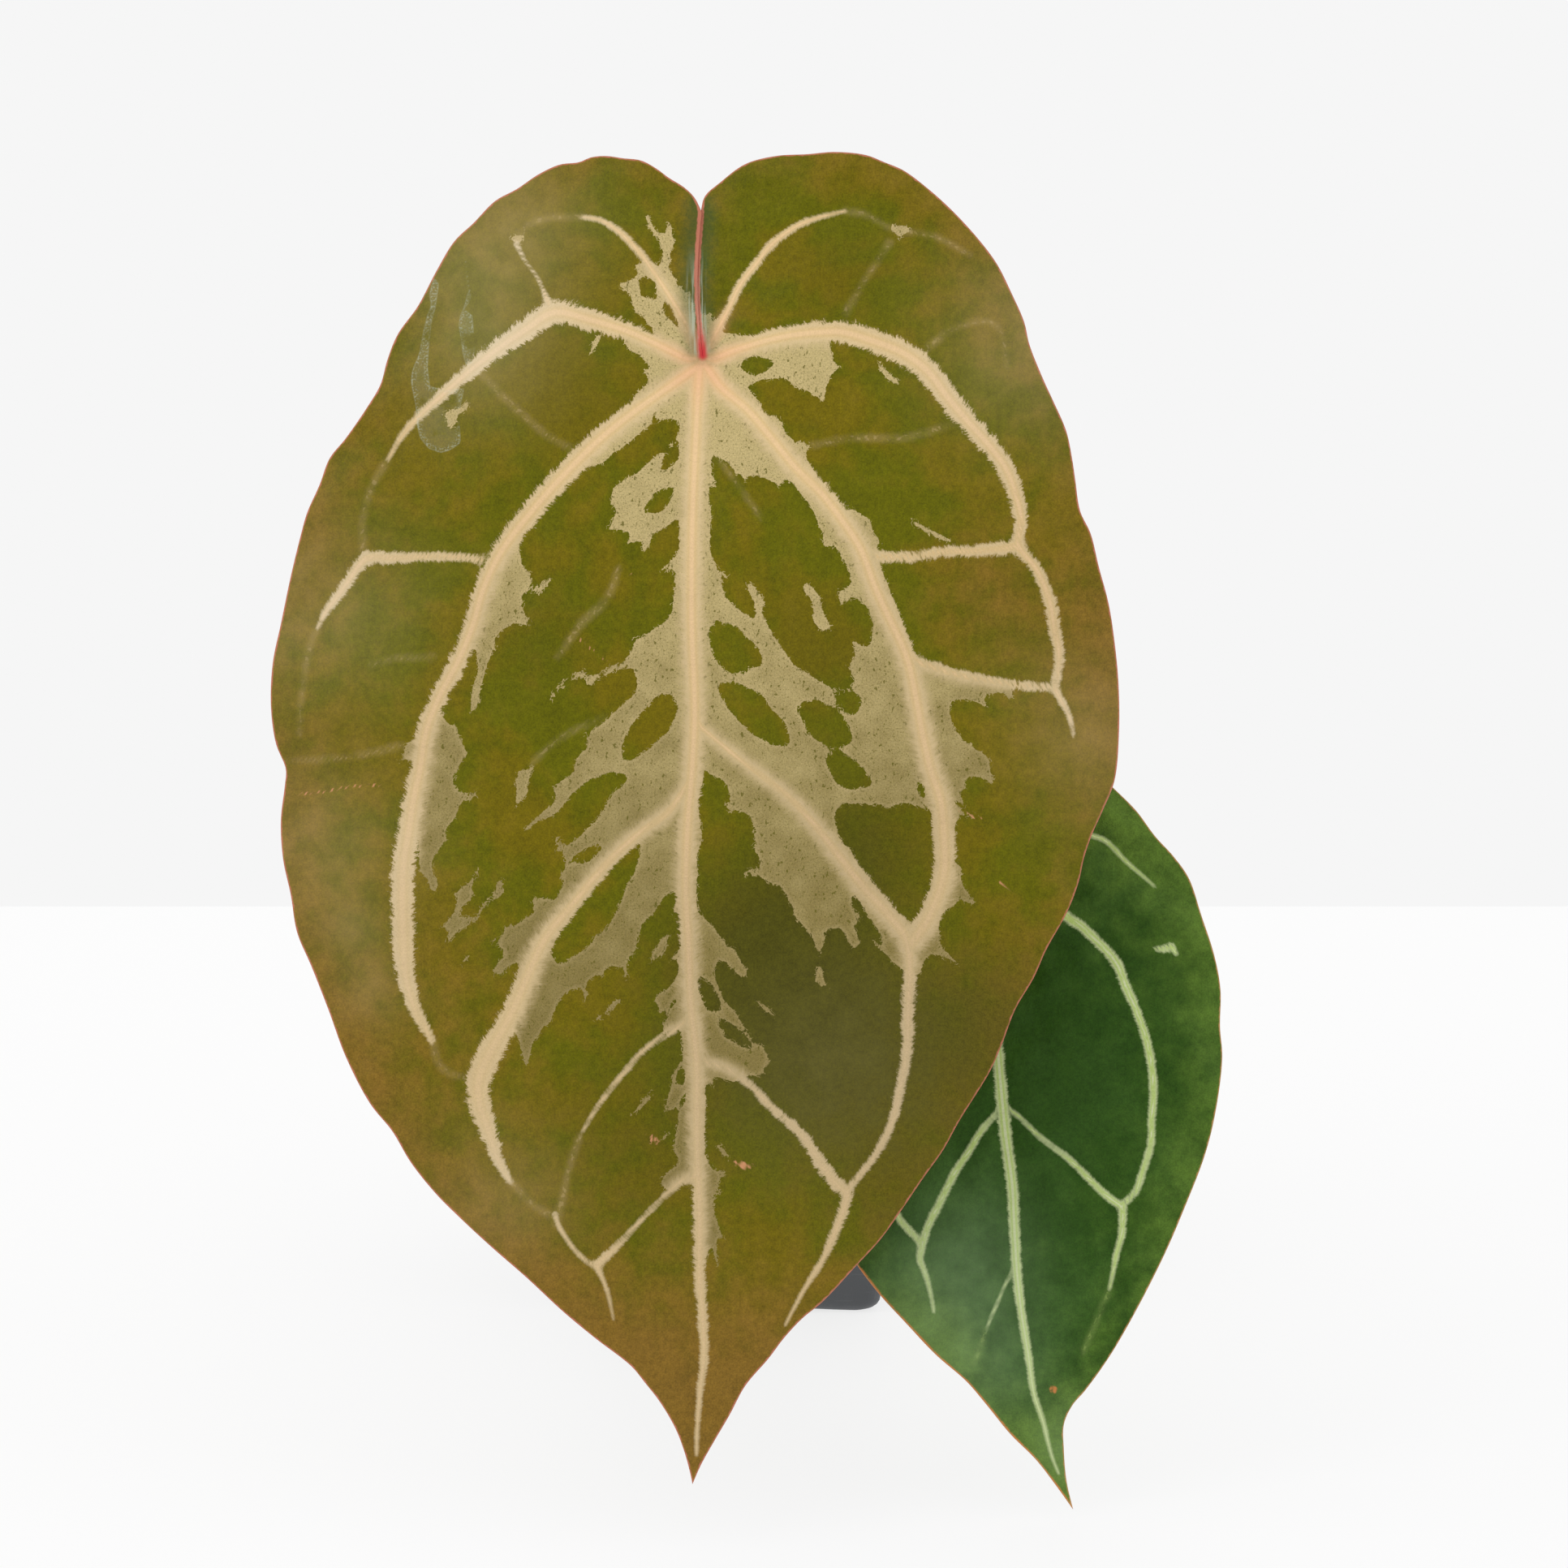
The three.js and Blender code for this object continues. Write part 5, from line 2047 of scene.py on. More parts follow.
STEM_FINISH = StrandFinish("stem", *tints("104,92,56 122,108,68 78,62,42 118,128,70"), 0.7, 0.12, 3.0)
ROOT_FINISH = StrandFinish("root", *tints("178,164,132 196,184,154 138,118,88 122,98,70"), 0.78, 0.12, 2.0)
SHEATH_FINISH = PaperFinish("dry_sheath", *tints("176,134,88 128,86,52 96,62,40"))
POT_FINISH = PlasticFinish("pot_plastic", *tints("74,76,79 104,106,108 122,116,106"))
SOIL_FINISH = CrumbFinish("soil", *tints("84,62,44 44,32,24 108,88,66"), 0.95, 0.5)
BARK_FINISH = CrumbFinish("bark", *tints("142,98,62 66,44,30 40,28,22"), 0.85, 0.2, (0.6, 2.2, 2.2))
PUMICE_FINISH = CrumbFinish("pumice", *tints("226,220,206 188,178,160 140,130,114"), 0.92, 0.25)

# ---------------------------------------------------------------- drawn shapes of the large blade

LARGE_LEFT_MARGIN = """
-0.2,32.1 -1.8,35.3 -4.1,37.6 -7.6,39.8 -10.3,41.8 -13.7,43.6 -17.8,44.1 -21.4,44.6 -24.8,44.3 -27.5,43.2
-31.7,42.7 -36.5,40.5 -41.2,37.3 -46.1,34.6 -50.9,29.7 -55.1,25.7 -59.2,18.9 -63.2,11.3 -67.7,5 -70,-0.7
-71.5,-6.1 -74.7,-11.5 -79.2,-18 -82.8,-22.5 -85,-28.3 -87.8,-34.6 -89.1,-39.2 -91.3,-48.2 -93.6,-59.2
-95.4,-67.9 -95.8,-77.6 -94.7,-85.7 -92.5,-91.4 -92.7,-94.9 -93.6,-102.8 -93.1,-111.4 -91.4,-119.3 -90,-127.6
-86.8,-135.2 -83,-144.9 -79.2,-155.2 -73.8,-165.6 -68.9,-171.7 -64.8,-178.6 -59.2,-185.6 -53.8,-191 -47,-197.3
-39.2,-204.1 -30.8,-211.9 -23.9,-217.6 -15.8,-223.9 -13,-227.3 -9.5,-231.8 -6.1,-237.6 -4.1,-242.8 -2.7,-248
-2.3,-250
"""
LARGE_RIGHT_MARGIN = """
-0.5,32.05 0.4,35.6 3.8,38.7 9.4,42.8 16.2,44.6 23.2,45 29.3,45.5 36.2,44.8 40.3,43.2 44.5,41.4 50,37.3
55.4,32.4 61,26.3 65.2,20.7 68.6,13.9 71.3,7.7 72.4,2.9 75.4,-4.7 77.6,-9.5 80.6,-16.4 81.9,-22.5 82.6,-27.2
83.7,-34.2 86,-39.1 87.8,-46.4 90,-54.7 91.3,-63 92.2,-72.5 92.3,-83.5 91.3,-94 88.6,-100.8 86.4,-105.7
84.6,-110.9 83.3,-116.6 80.8,-123.1 76.1,-131.6 73.4,-137.7 69.3,-144.7 66.4,-152.3 63.7,-158.4 56.9,-169.4
53.3,-175.9 49.1,-181.8 43.6,-189.9 39.4,-195.7 34,-201.6 26.6,-209.5 22,-213.3 18,-217.6 14.6,-222.1 9.4,-228.2
5.9,-234.7 2.5,-240.5 -0.4,-245.7 -2.3,-250
"""
LARGE_MIDRIB = """
0,0 -0.7,-2.7 -1.6,-18.5 -2.3,-35.1 -2.5,-57.6 -1.8,-78.8 -2.3,-90.5 -3.4,-104.2 -3.8,-118.1 -3.2,-129.6
-2.7,-142.6 -1.4,-156.4 -1.3,-173.5 -0.7,-190.8 -0.7,-204.7 0,-212.9 0.2,-221.6 -0.7,-230.2 -1.3,-238.9
-1.4,-243.4
"""
LARGE_VEINS = (
    Vein(LARGE_MIDRIB, (2.1, 2.1, 2.1, 2.0, 1.9, 1.7, 1.5, 1.1, 0.35)),
    *read_veins("""
1.9 2.2 2.3 2 1.9 2 2.5 2.4 0.7: -1.1,-2.2 -8.3,-7.2 -16.4,-13 -23.6,-18.9 -29.9,-25.2 -33.3,-28.8 -41.4,-38.5
-45.4,-44.3 -48.8,-51.7 -51.1,-59.8 -54.5,-67.9 -58.7,-75.8 -61.6,-83.9 -62.6,-90.7 -64.1,-97.7 -65.2,-105.1
-66.4,-112.7 -66.6,-121.5 -66.4,-129.8 -65.9,-137.3 -63.4,-145.6 -59.9,-151.7;
1.2 1.4 1.5 1.7 2.1 2.4 2.8 2 0.6: -3.8,-95.4 -7.6,-100.8 -15.1,-106.4 -22.1,-113.2 -29,-121.5 -35.1,-129.1
-39.2,-138.1 -42.8,-146.3 -47,-153.9 -49.7,-160 -49.7,-164.9 -47.5,-171.7 -45.5,-178 -42.8,-182.7;
0.9 0.6 0.6 0.5 0.25: -2.7,-146.7 -4.9,-148.3 -12.4,-153.2 -18,-159.3 -23.4,-166.3 -27.5,-173.2;
1.1 0.6 0.5 0.6 1.1: -1.3,-181.4 -4.7,-182.7 -7.2,-184.9 -14,-191.7 -19.3,-197.5 -23.6,-201.4;
1.3 1.8 2.2 2.5 2 1.4 0.9 0.3: -0.7,0 -2.7,-0.5 -10.3,2.9 -16.4,5.6 -24.5,8.1 -33.1,9.9 -38.9,6.3 -45.2,2
-51.5,-2.9 -57.4,-8.1 -62.6,-12.8 -66.6,-17.3 -70,-23;
0.9 0.3 0.2 0.5: -33.8,11 -36.7,17.6 -39.6,21.6 -41.4,25.2;
0.9 1.1 1 0.8 0.7 0.4: -1,1.5 -2.7,5.6 -6.8,12.6 -10.3,18 -14.4,23.6 -18.5,27.7 -22.7,30.4 -26.8,31;
0.9 0.9 1 1.2 1.4 1.2 0.9 0.3: -48.8,-44.8 -56.3,-44.3 -62.1,-44.3 -68.9,-44.6 -74.7,-44.6 -77.6,-48.2
-80.5,-52.4 -83.9,-56.9 -85.5,-60.3;
1.9 2.1 2.1 2.1 2.1 2.1 2.2 2.3 2.4: 0.7,-2 4.1,-6.8 9.7,-11.5 15.1,-17.8 20.7,-24.7 26.3,-30.2 31,-36.4
34.9,-42.3 38.3,-51.3 41.8,-58.9 45.2,-66.4 47.2,-75.2 48.6,-83 50.6,-91.8 52.7,-98.1 53.5,-106.4 53.5,-114.7
51.7,-120.8 48.6,-126.9 46.1,-130;
1 1.1 1.3 1.6 2.1 2 1.4 1.2 1 0.8 0.7: -1.1,-81.4 1.1,-83.5 7.2,-88.4 13.5,-93.2 19.6,-98.1 25.2,-104.2
30.1,-110.5 35.5,-117.4 41,-123.5 45.2,-129.1 45.9,-135.7 45.5,-146 45.2,-154.3 43.7,-162.5 41.8,-170.1
38.2,-177.1 34,-182.5 32,-184.7;
0.9 0.8 0.9 1.1 1.4 1.1 0.8 0.5 0.2: 0.4,-156.4 5.2,-157.7 10.1,-161.1 15.5,-166.7 21.8,-172.3 25.9,-178.4
30.1,-184 32,-184.9 31.3,-188.8 29.3,-194.2 26.5,-200.5 23,-205.9 20.3,-210.8 18.2,-214.9;
1.6 1.9 2.3 2.5 2.4 2 1.6 1.2 1.4 1 0.3: 0.6,0 1.4,-0.5 6.8,1.4 13.9,3.6 20.7,5 27.7,5.6 30.8,5.6 37.6,3.6
44.5,0.9 50,-3.2 54.2,-8.8 58.9,-14.4 63.7,-19.8 67.3,-24.8 69.3,-30.2 70.6,-36 70,-41.8 74,-47 76.9,-54
78.1,-60.8 79.2,-67.7 78.1,-73.3 81,-78.8 82.3,-84.2;
1.2 1.1 1.1 1.2 1.5: 38.9,-44.3 46.4,-44.3 53.5,-43.2 60.3,-43 67.1,-42.3 70,-41.8;
1.2 1.1 1 1 0.8: 47.2,-67.5 56.9,-70.6 63.7,-71.8 70.6,-72.9 78,-73.3;
0.8 0.9 0.9 0.9 0.7 0.3: 0.8,1.5 2.7,5 5.6,10.4 8.3,16 12.4,21.4 15.1,24.8 20.7,29 26.3,31.1 31.7,32.4;
0.5 0.4 0.5: -23.6,-201.4 -25.4,-200.9 -29.7,-196.4 -32,-192.6 -32.8,-190.1;
0.6 0.4 0.15: -23.6,-201.4 -21.2,-207.2 -19.8,-213.5;
~0.4 0.2 0.4: -42.8,-182.7 -37.3,-188.3 -32.8,-190.8;
~0.3 0.2 0.5: -27.5,-173.2 -29.7,-180 -31,-186.1 -32.6,-192.1;
~0.4 0.2 0.4: -70,-23 -73.4,-28.8 -75.2,-34.6 -75.4,-45;
~0.3 0.2 0.4: -26.8,31 -32.4,31 -37.8,29.7 -40.7,27 -41.4,25.2;
~0.3 0.2 0.3: -59.9,-151.7 -58.3,-157.3 -53.1,-160 -49.7,-160;
~0.3 0.1 0.2 0.1: 31.7,32.4 36.5,31.5 42,28.5 51.8,26.6 59.4,22.5;
~0.4 0.1 0.3: 31.7,9.9 36.7,18.2 41.4,25.4;
~0.4 0.1 0.1: 50.2,2.3 56,6.5 63.5,7.9 66.1,5.6 67.5,-2;
~0.2 0.4 0.2: 24.1,-19.6 32.6,-18 45.2,-17.8 56,-14.6;
~0.2 0.1 0.1: 2.3,-20.9 7.6,-28.1 12.8,-35.5;
~0.2 0.4 0.3: -27.9,-20.9 -34.2,-17.6 -43.6,-9.4 -50.8,-2.2;
~0.2 0.5 0.2: -18.7,-46.8 -20.9,-53.1 -27,-59.2 -32.2,-66.6;
~0.3 0.1 0.1: -85.5,-60.3 -87.1,-64 -89,-75 -89.6,-84;
~0.4 0.3 0.1: -60,-66.6 -68,-66.8 -73.6,-68.2;
~0.4 0.3 0.1: -67,-86.2 -77.9,-88.7 -92.2,-89.6;
~0.1 0.2 0.2: -37.9,-90.1 -33.4,-85.9 -29.2,-83.1 -22,-80
"""),
)
LARGE_PATCHES = read_patches("""
-1.2,2.2 -2.1,10.5 -3,14.5 -3.5,14.2 -5.9,16.1 -6.3,17.6 -7.7,19.5 -7.1,24.1 -6.1,25.8 -6.9,27 -7.1,29.9
-7.6,29.8 -8.2,27.7 -8.9,27.2 -9.7,27.3 -10.7,28 -12.3,31.5 -12.2,29 -11.3,28.4 -10.6,26.8 -9.5,26.3 -8.7,23
-9,21.6 -9.7,20.1 -12,20.8 -14.9,20.4 -14.2,18.5 -14.7,17.6 -17,16.4 -18.2,16.4 -17.9,15.4 -16.1,14.1 -15.6,13.1
-15.7,11.7 -15.1,11.1 -14.9,9.8 -13.7,10 -12.1,7.2 -11.2,6.6 -10,3 0,0
| -14.5,17 -13.4,18 -12.3,18.2 -10.1,16.1 -10.1,13 -11.1,12.6 -13.9,13.5 -14.1,15
| -9,10.5 -8.9,11.9 -7.8,13.3 -5.7,8.8 -5,5.9 -8.5,9.2;
0,0 -17.2,5.5 -17.2,2.9 -16.1,1.7 -13.4,0.1 -11.6,-2.3 -13,-3.3 -12.1,-4.2 -11.8,-5.8 -15.1,-8.5 -15,-12;
-10,-9 -11.5,-14.9 -12.7,-15.5 -16.8,-19.3 -20.3,-21.4 -22,-23.4 -24.8,-24.3 -26,-23 -22,-17;
-0.8,10 0.5,9.2 1.4,9.3 2.4,7.9 3.3,8.6 4.2,7 3.9,5.4 11.5,4.3 8,2 0,0 -1,2.5;
0,0 -8.3,-7.2 -10.5,-12.5 -9.6,-14.1 -7.8,-13.5 -5,-14.1 -5.1,-16.5 -5.7,-17.9 -7.8,-21 -10.9,-22.4 -13.7,-25.2
-19.3,-28.5 -20.3,-30.3 -19.8,-31.4 -20.9,-32.8 -19.6,-32.8 -19.1,-33.7 -19.8,-36.4 -20.9,-37.7 -20.7,-38.6
-20,-37.8 -16.1,-38.9 -16,-40.1 -16.6,-41.5 -15.4,-40.7 -13.4,-40.8 -13.1,-43.1 -11.5,-41.5 -12,-39.9 -11.6,-39
-8.2,-37.7 -6.1,-35.9 -5.1,-35.7 -5.2,-42.5 -5.7,-44.2 -9.4,-47.6 -6.6,-46.8 -5.8,-47.9 -6.4,-49.5 -5.7,-49.9
-6.6,-54 -6.5,-56.4 -8.8,-59.4 -11.5,-60.6 -12.2,-61.6 -13.6,-62.3 -15.5,-62.2 -14.8,-62.9 -16.7,-67.2
-20.5,-68.6 -23.7,-70.7 -26.1,-70.6 -26.4,-69.4 -30.6,-71.7 -33,-74.1 -33.9,-76.4 -33.4,-74.8 -29.9,-71.8
-27.8,-71.1 -26.1,-71.5 -25.6,-72.9 -25,-73.1 -24.2,-72 -20.9,-70 -17.1,-68.8 -15.3,-69.1 -14.3,-72.4
-14.6,-73.8 -15.2,-75.2 -19.8,-79 -21.2,-80.7 -27,-84.7 -25.7,-84.7 -25.1,-85.6 -25.7,-86.9 -27.5,-88.3
-28.2,-89.7 -28.3,-91.4 -29.2,-92.8 -33.3,-95.5 -32.2,-98.5 -37.9,-102.9 -40,-105.8 -37,-103 -33.6,-102
-30.4,-98.7 -29.8,-97.5 -25.6,-93.8 -20.7,-91.9 -16.9,-92.5 -16.3,-93.8 -20,-97.1 -23.2,-102.5 -28.4,-107.5
-29.8,-108.4 -31.7,-107.5 -31.9,-106.3 -33,-106.5 -31.8,-108.7 -32.5,-110 -31.1,-109.6 -30.1,-112 -30.6,-113.8
-31.8,-115.4 -30.6,-116 -31.7,-119.3 -32.9,-120.5 -38.1,-120 -37,-122.6 -38.1,-124 -42,-126.3 -44.4,-126.2
-43.9,-127.7 -45.1,-129.3 -47.3,-129.7 -45.4,-130.2 -43.7,-131.9 -43.7,-132.9 -45.4,-134.3 -47,-137.3
-45.1,-136.4 -44.2,-136.7 -43.4,-135 -40.4,-134 -42.8,-146.3 -42,-149.2 -41,-150.5 -39.2,-157.3 -37.8,-152
-35.9,-149.6 -35.4,-148.2 -33.8,-147.8 -33.8,-146.4 -31.8,-142.3 -30.2,-140.6 -28.1,-139.7 -26.7,-140
-26.2,-141.2 -26.4,-142.7 -25.5,-141.6 -26.2,-139.5 -25.3,-138 -23.6,-136.9 -22.6,-137.6 -21.9,-135.7 -20.1,-135
-17.6,-135.4 -16.7,-138.5 -17.1,-135 -16.8,-133.4 -15,-131.8 -14.8,-129 -13.1,-124.9 -11.2,-123.5 -8.3,-119.1
-6.7,-118.3 -5.8,-118.8 -5.4,-120 -6.2,-121.7 -6.4,-123.5 -5.1,-123.3 -3.4,-128 -3.8,-118 -3.4,-104.2 -1.8,-78.8
-2.5,-57.6 -2.3,-35.1 -1.6,-18.5
| -8.2,-28.7 -5.8,-29 -8,-33.5 -9.2,-34.5 -12.7,-34.8 -13.4,-34.4 -13.4,-33.8 -10.6,-29.9 -9.4,-29.3
| -5.3,-17.6 -8.6,-21.5 -9.7,-25 -8.5,-25.2 -5.7,-23.6 -5.2,-22.4
| -18.5,-89 -17.8,-88 -18.1,-85.9 -15.7,-81 -10.8,-75.5 -8.8,-74.4 -6.9,-74.8 -5.5,-76.7 -5.5,-78.3 -7,-82.4
-10.8,-86.2 -13.3,-88 -15.3,-89.4 -17.1,-89.6
| -29.8,-111.7 -28.4,-110.3 -24.9,-108.4 -22.8,-107.7 -22,-108.6 -24.6,-111.7 -26.3,-112.4 -29.4,-112.4
| -15,-107.5 -13.8,-108.1 -13.6,-110 -15.2,-114.8 -16.9,-117.2 -17.6,-120 -20.4,-125.6 -22.1,-127.6 -23.9,-128.2
-24.2,-129.7 -25.6,-131.1 -31.3,-134.9 -32.9,-134.1 -34.1,-132.1 -31.8,-127.1 -20.5,-112.8 -17.5,-109.8;
-39.5,-37.5 -41.1,-42.8 -39.9,-46.7 -37.7,-48.5 -38.6,-49.9 -37.5,-51.1 -36.1,-50.7 -34.1,-48.7 -33.6,-49.5
-34.8,-50.2 -36,-52.4 -38.6,-51.6 -40,-52.3 -40.4,-55.4 -38.3,-59 -38.8,-59.7 -41.7,-58.7 -45.8,-61.3 -46.4,-63
-46,-63.9 -47.9,-67.9 -49.4,-73.4 -49.9,-77.6 -51.5,-78.5 -51,-73.6 -49.6,-69.5 -50.1,-65 -52.8,-64 -51.1,-59.8
-48.8,-51.7 -45.4,-44.3 -41.4,-38.5;
-58.7,-79 -57.2,-80.5 -56.7,-81.8 -54.4,-81.9 -54.6,-83.3 -52.3,-88.3 -53.9,-89.7 -54.4,-91.6 -55.6,-92.3
-55.1,-96 -53.4,-96.8 -50.9,-96.8 -49.5,-96.3 -50.6,-98.1 -52.3,-98.2 -53.9,-98.9 -55.1,-102.4 -57,-104.1
-57.3,-105.5 -56.9,-107.2 -59.3,-110 -60.1,-111.7 -60.3,-113.8 -58.6,-116.9 -59.4,-118.3 -60.6,-118.2
-60.6,-116.2 -62.7,-113.8 -63,-107 -64.5,-104 -63.4,-95 -61,-84;
-62.5,-84 -66.5,-86.4 -65.7,-87.5 -67.6,-89.7 -66.2,-89.2 -62.5,-89.5;
-37.5,-90.7 -38.8,-91.6 -40.5,-91.8 -41.4,-93 -41.2,-98.3 -41.8,-99.7 -40.2,-98.2 -39.6,-96.8 -38.6,-96.3
-39.3,-95.4 -38.2,-92.5;
-49.9,-113.5 -50.1,-115.3 -54.4,-118.4 -54.8,-119.4 -54.3,-120.8 -55.1,-123.2 -57.9,-126.6 -56.5,-126.9
-56,-127.7 -57.1,-130.5 -54.4,-127.2 -50.6,-125.3 -49.9,-124.4 -54.1,-124.3 -54.2,-122.9 -53.4,-121.5 -52,-120.8
-51.3,-119.8 -50.9,-118.4 -51.7,-117.7;
-44.1,-115.5 -44.8,-116.6 -45.8,-116.3 -45.6,-117.7 -46,-118.9 -48.9,-121.7 -49.8,-123.4 -47.2,-120.5
-44.8,-119.6 -44.1,-118.4 -44.9,-117.2;
-51.7,-132.9 -52.5,-134 -53.5,-135 -53.2,-134 -52.2,-132.9;
42.1,29.6 43.2,28.9 44.8,29.1 46.2,28 44.6,27.5 43.9,26.1 43.1,27.4 41.8,28.1;
-43,27 -41.6,26.6 -39.8,27.2 -40.3,25.4 -41.8,25.6;
-51.9,-10.2 -52.2,-11.1 -54.4,-12.8 -55.5,-16.1 -56.6,-15.3 -56.3,-14.8 -56.7,-13.4 -57.5,-12.9 -56,-11.6
-54.4,-11.7 -52.5,-10.1;
-3.4,-128 -4.6,-130 -5.1,-131.9 -7.3,-133.7 -5.6,-133.8 -5.2,-136 -5.6,-137.5 -8,-140.6 -10.1,-141.3
-11.1,-142.2 -9.9,-143 -10.1,-144.6 -8,-145.3 -7.7,-145.8 -9.2,-150 -5.9,-148.6 -4.8,-149.3 -4.3,-152
-4.3,-155.5 -6.3,-158.6 -7.1,-163.1 -8.4,-165.2 -7.7,-165.9 -8.2,-167.5 -5.8,-166.2 -5.1,-167.2 -6.4,-176.3
-5.4,-177.1 -5.2,-178.9 -7.8,-180.9 -9.2,-182.5 -9.2,-183.4 -7.8,-184.8 -6.1,-184.8 -5,-183.4 -3.3,-182.7
-1.5,-183.5 -1.4,-156.4 -2.7,-142.6 -3.2,-129.6
| -7.7,-144.6 -6.6,-142.3 -5.4,-140.9 -5.6,-142.7 -6.6,-144.2
| -4.5,-156.5 -5.9,-159 -6.3,-160.9 -5.9,-161.7 -4.2,-161.4 -3.6,-158.5
| -3.6,-163.2 -4.5,-163.5 -5.4,-165.2 -5.2,-166.6 -3.8,-165.8;
0,0 7,1.4 20,5 27,5.3 28.3,1.8 28.6,-0.5 30.1,-2.3 28.3,-4 27.2,-6.8 26.8,-9.9 23.4,-7.4 20.6,-6.4 18.5,-4.7
15.1,-4.5 11.6,-5.4 9.9,-6.4 10.2,-7.5 13,-10.6 12.3,-12 14.8,-13.2 15.8,-13 16.5,-13.7 17.5,-13.7 16.3,-15.1
18.1,-15.4 17.7,-16.5 20,-18.4 20.1,-19.1 22,-18.9 23.4,-19.3 23.5,-20.3 22.4,-21.4 22.7,-22.4 27.5,-29.5
30.7,-33.5 31.7,-34.2 33.1,-33.8 37.3,-36.4 37.2,-37.8 37.8,-39.4 38.7,-40.4 40.1,-40.7 38.2,-42.1 38.3,-43
40,-44.3 39,-46 43.5,-57 46.2,-65.5 47.7,-67.2 49.5,-67.9 51.9,-67.7 52.9,-68.6 55.4,-69.1 55.9,-70 59.9,-70.4
61.6,-71.2 66,-71.9 68.7,-73 68.7,-75.4 68.2,-75.8 66.4,-74 63,-74.8 61.9,-75.8 63.3,-77.8 60.9,-76.4 58.5,-75.8
56.4,-75.8 54.7,-76.5 54.5,-77.9 55.2,-81.4 57.4,-84.9 63.2,-88.8 63.8,-90.1 63.3,-91.3 64.7,-93.9 64,-94.4
61.2,-92.8 59.2,-93 57.8,-93.7 57.8,-94.9 58.6,-96.1 57.2,-95.9 56.6,-96.8 58.1,-98.9 55.2,-98.2 55.2,-98.9
58.1,-101.1 59.5,-101.1 60.9,-102 57.6,-101.6 56.2,-102.3 54.8,-110.3 56.1,-112.4 57.6,-113.4 57.1,-114.8
57.4,-116.9 60.4,-121.7 56.7,-120 56,-121.4 52.9,-123.1 52.2,-125.9 52.6,-130.8 56.7,-134.7 52.2,-132.5
50.5,-132.5 49.5,-133 47.7,-137 45.8,-137 39.4,-131.4 38,-129.5 38.9,-130 40.8,-130 34,-119.3 33,-119.5
32.5,-120.5 33.5,-123.3 34.6,-123.6 35.1,-124.7 33.2,-125.4 34.2,-128.5 35.4,-129.5 33.2,-131.2 31.4,-127.4
30.1,-126.4 28,-126.7 26.8,-127.4 26.9,-129.9 25.7,-132.1 24,-127.8 20.7,-124.3 20,-121.9 17.8,-117.7
16.7,-116.7 15.2,-116.7 12.4,-115 10.3,-115.1 9.1,-114.6 9.3,-113.9 12.4,-113.6 13.3,-112.5 11,-108 11.7,-108.3
12.6,-107.9 11.2,-106.6 12,-104.9 10.3,-101.4 6.8,-100.2 6.1,-101 5.1,-99.1 6.1,-98.7 6.2,-96.9 5.5,-95
4.4,-93.6 1.3,-92.3 0.3,-91 -0.3,-95 -1.3,-98 -0.3,-107.3 -1.6,-110.8 -1.3,-113.6 -1.6,-121.2 -1.1,-123.3
2.3,-126.6 5.5,-130.9 6.7,-131.2 10,-136.6 9.3,-137.4 8.2,-137.1 5.1,-134 3.4,-133.6 2.4,-135.4 2.6,-137.8
4.6,-143 7.2,-145.5 11,-152 11.7,-152.7 13,-152.6 14.7,-156 13,-158.3 13.3,-159.5 10.7,-159 6.7,-160.7
2.4,-159.3 1.9,-160 2.6,-161.7 1.5,-160.7 0.5,-161.5 0.2,-176.8 2.1,-180.3 3.4,-180.8 4.7,-180.3 4.8,-181.6
3.3,-182.5 3.1,-184.2 4,-185.8 2.2,-185.1 2.4,-190.3 4.5,-195.7 3.1,-195.2 2.8,-197.2 3.3,-201.6 2.1,-197.2
1.2,-197.9 0.9,-199.7 0,-200 -1.3,-173.5 -1.4,-156.4 -3.8,-118 -3.4,-104.2 -1.8,-78.8 -2.5,-57.6 -2.3,-35.1
-1.6,-18.5
| 8.1,-2.1 8.8,-0.9 10.4,0.1 11.9,0.4 15.8,-0.7 15.4,-2.1 14.4,-3 11.2,-4.5 8.8,-3
| 2.2,-21.4 6.1,-23.6 7.3,-25.7 8.8,-26.2 9.3,-27.4 10.3,-26.2 11.3,-26.1 15.1,-27.2 16.7,-28.5 17.4,-27.4
18.9,-27.1 20,-27.8 25,-34.5 25.1,-35.9 27.1,-39.6 26.4,-40.6 26.8,-42.1 27.9,-41.7 29.7,-42 32.6,-47.7
33.1,-50.5 31,-51.9 29.8,-51.8 30.4,-52.9 30.3,-54.9 33.3,-53.2 34.5,-53.4 36.9,-55.7 38,-59.5 37.4,-63.4
36.6,-64.3 35.6,-64.4 33.3,-63 34.1,-66.1 33.2,-67.7 32.1,-68.5 34.2,-72.2 33,-73.2 29.7,-73.9 28.2,-73.4
20,-68.4 14.5,-60.1 13.2,-57.6 12.9,-55.9 13.6,-54.5 11.7,-51.4 10.5,-50.3 9.5,-50.4 11.3,-53.5 12,-57.4
11.5,-58.1 9.8,-57.5 5.1,-53.8 3.7,-49.4 4.7,-48.9 6.3,-48.9 3.3,-47.5 1.6,-43.9 1.4,-40.8 1.8,-39.4 1.4,-38
1.8,-35.6 1.1,-30 1.4,-28.4 2.9,-28.3 1.7,-25.9 1.9,-22.8
| 2.9,-58.2 5.8,-59.2 7.2,-59.2 8.6,-60.4 9.6,-62.1 11.3,-63.2 12.7,-64.9 13.4,-67 13.1,-68.7 10.1,-69.2
9.8,-70.3 5.8,-70.2 4.4,-69.4 1.8,-66.1 1.2,-61.4 1.5,-59.5 2.5,-59.2
| 3.7,-72.2 7.2,-71.9 13.1,-74.6 15.3,-78.1 18.3,-80.7 19.6,-85 19.1,-86.2 17.6,-86.5 15,-86.1 10.3,-83.4
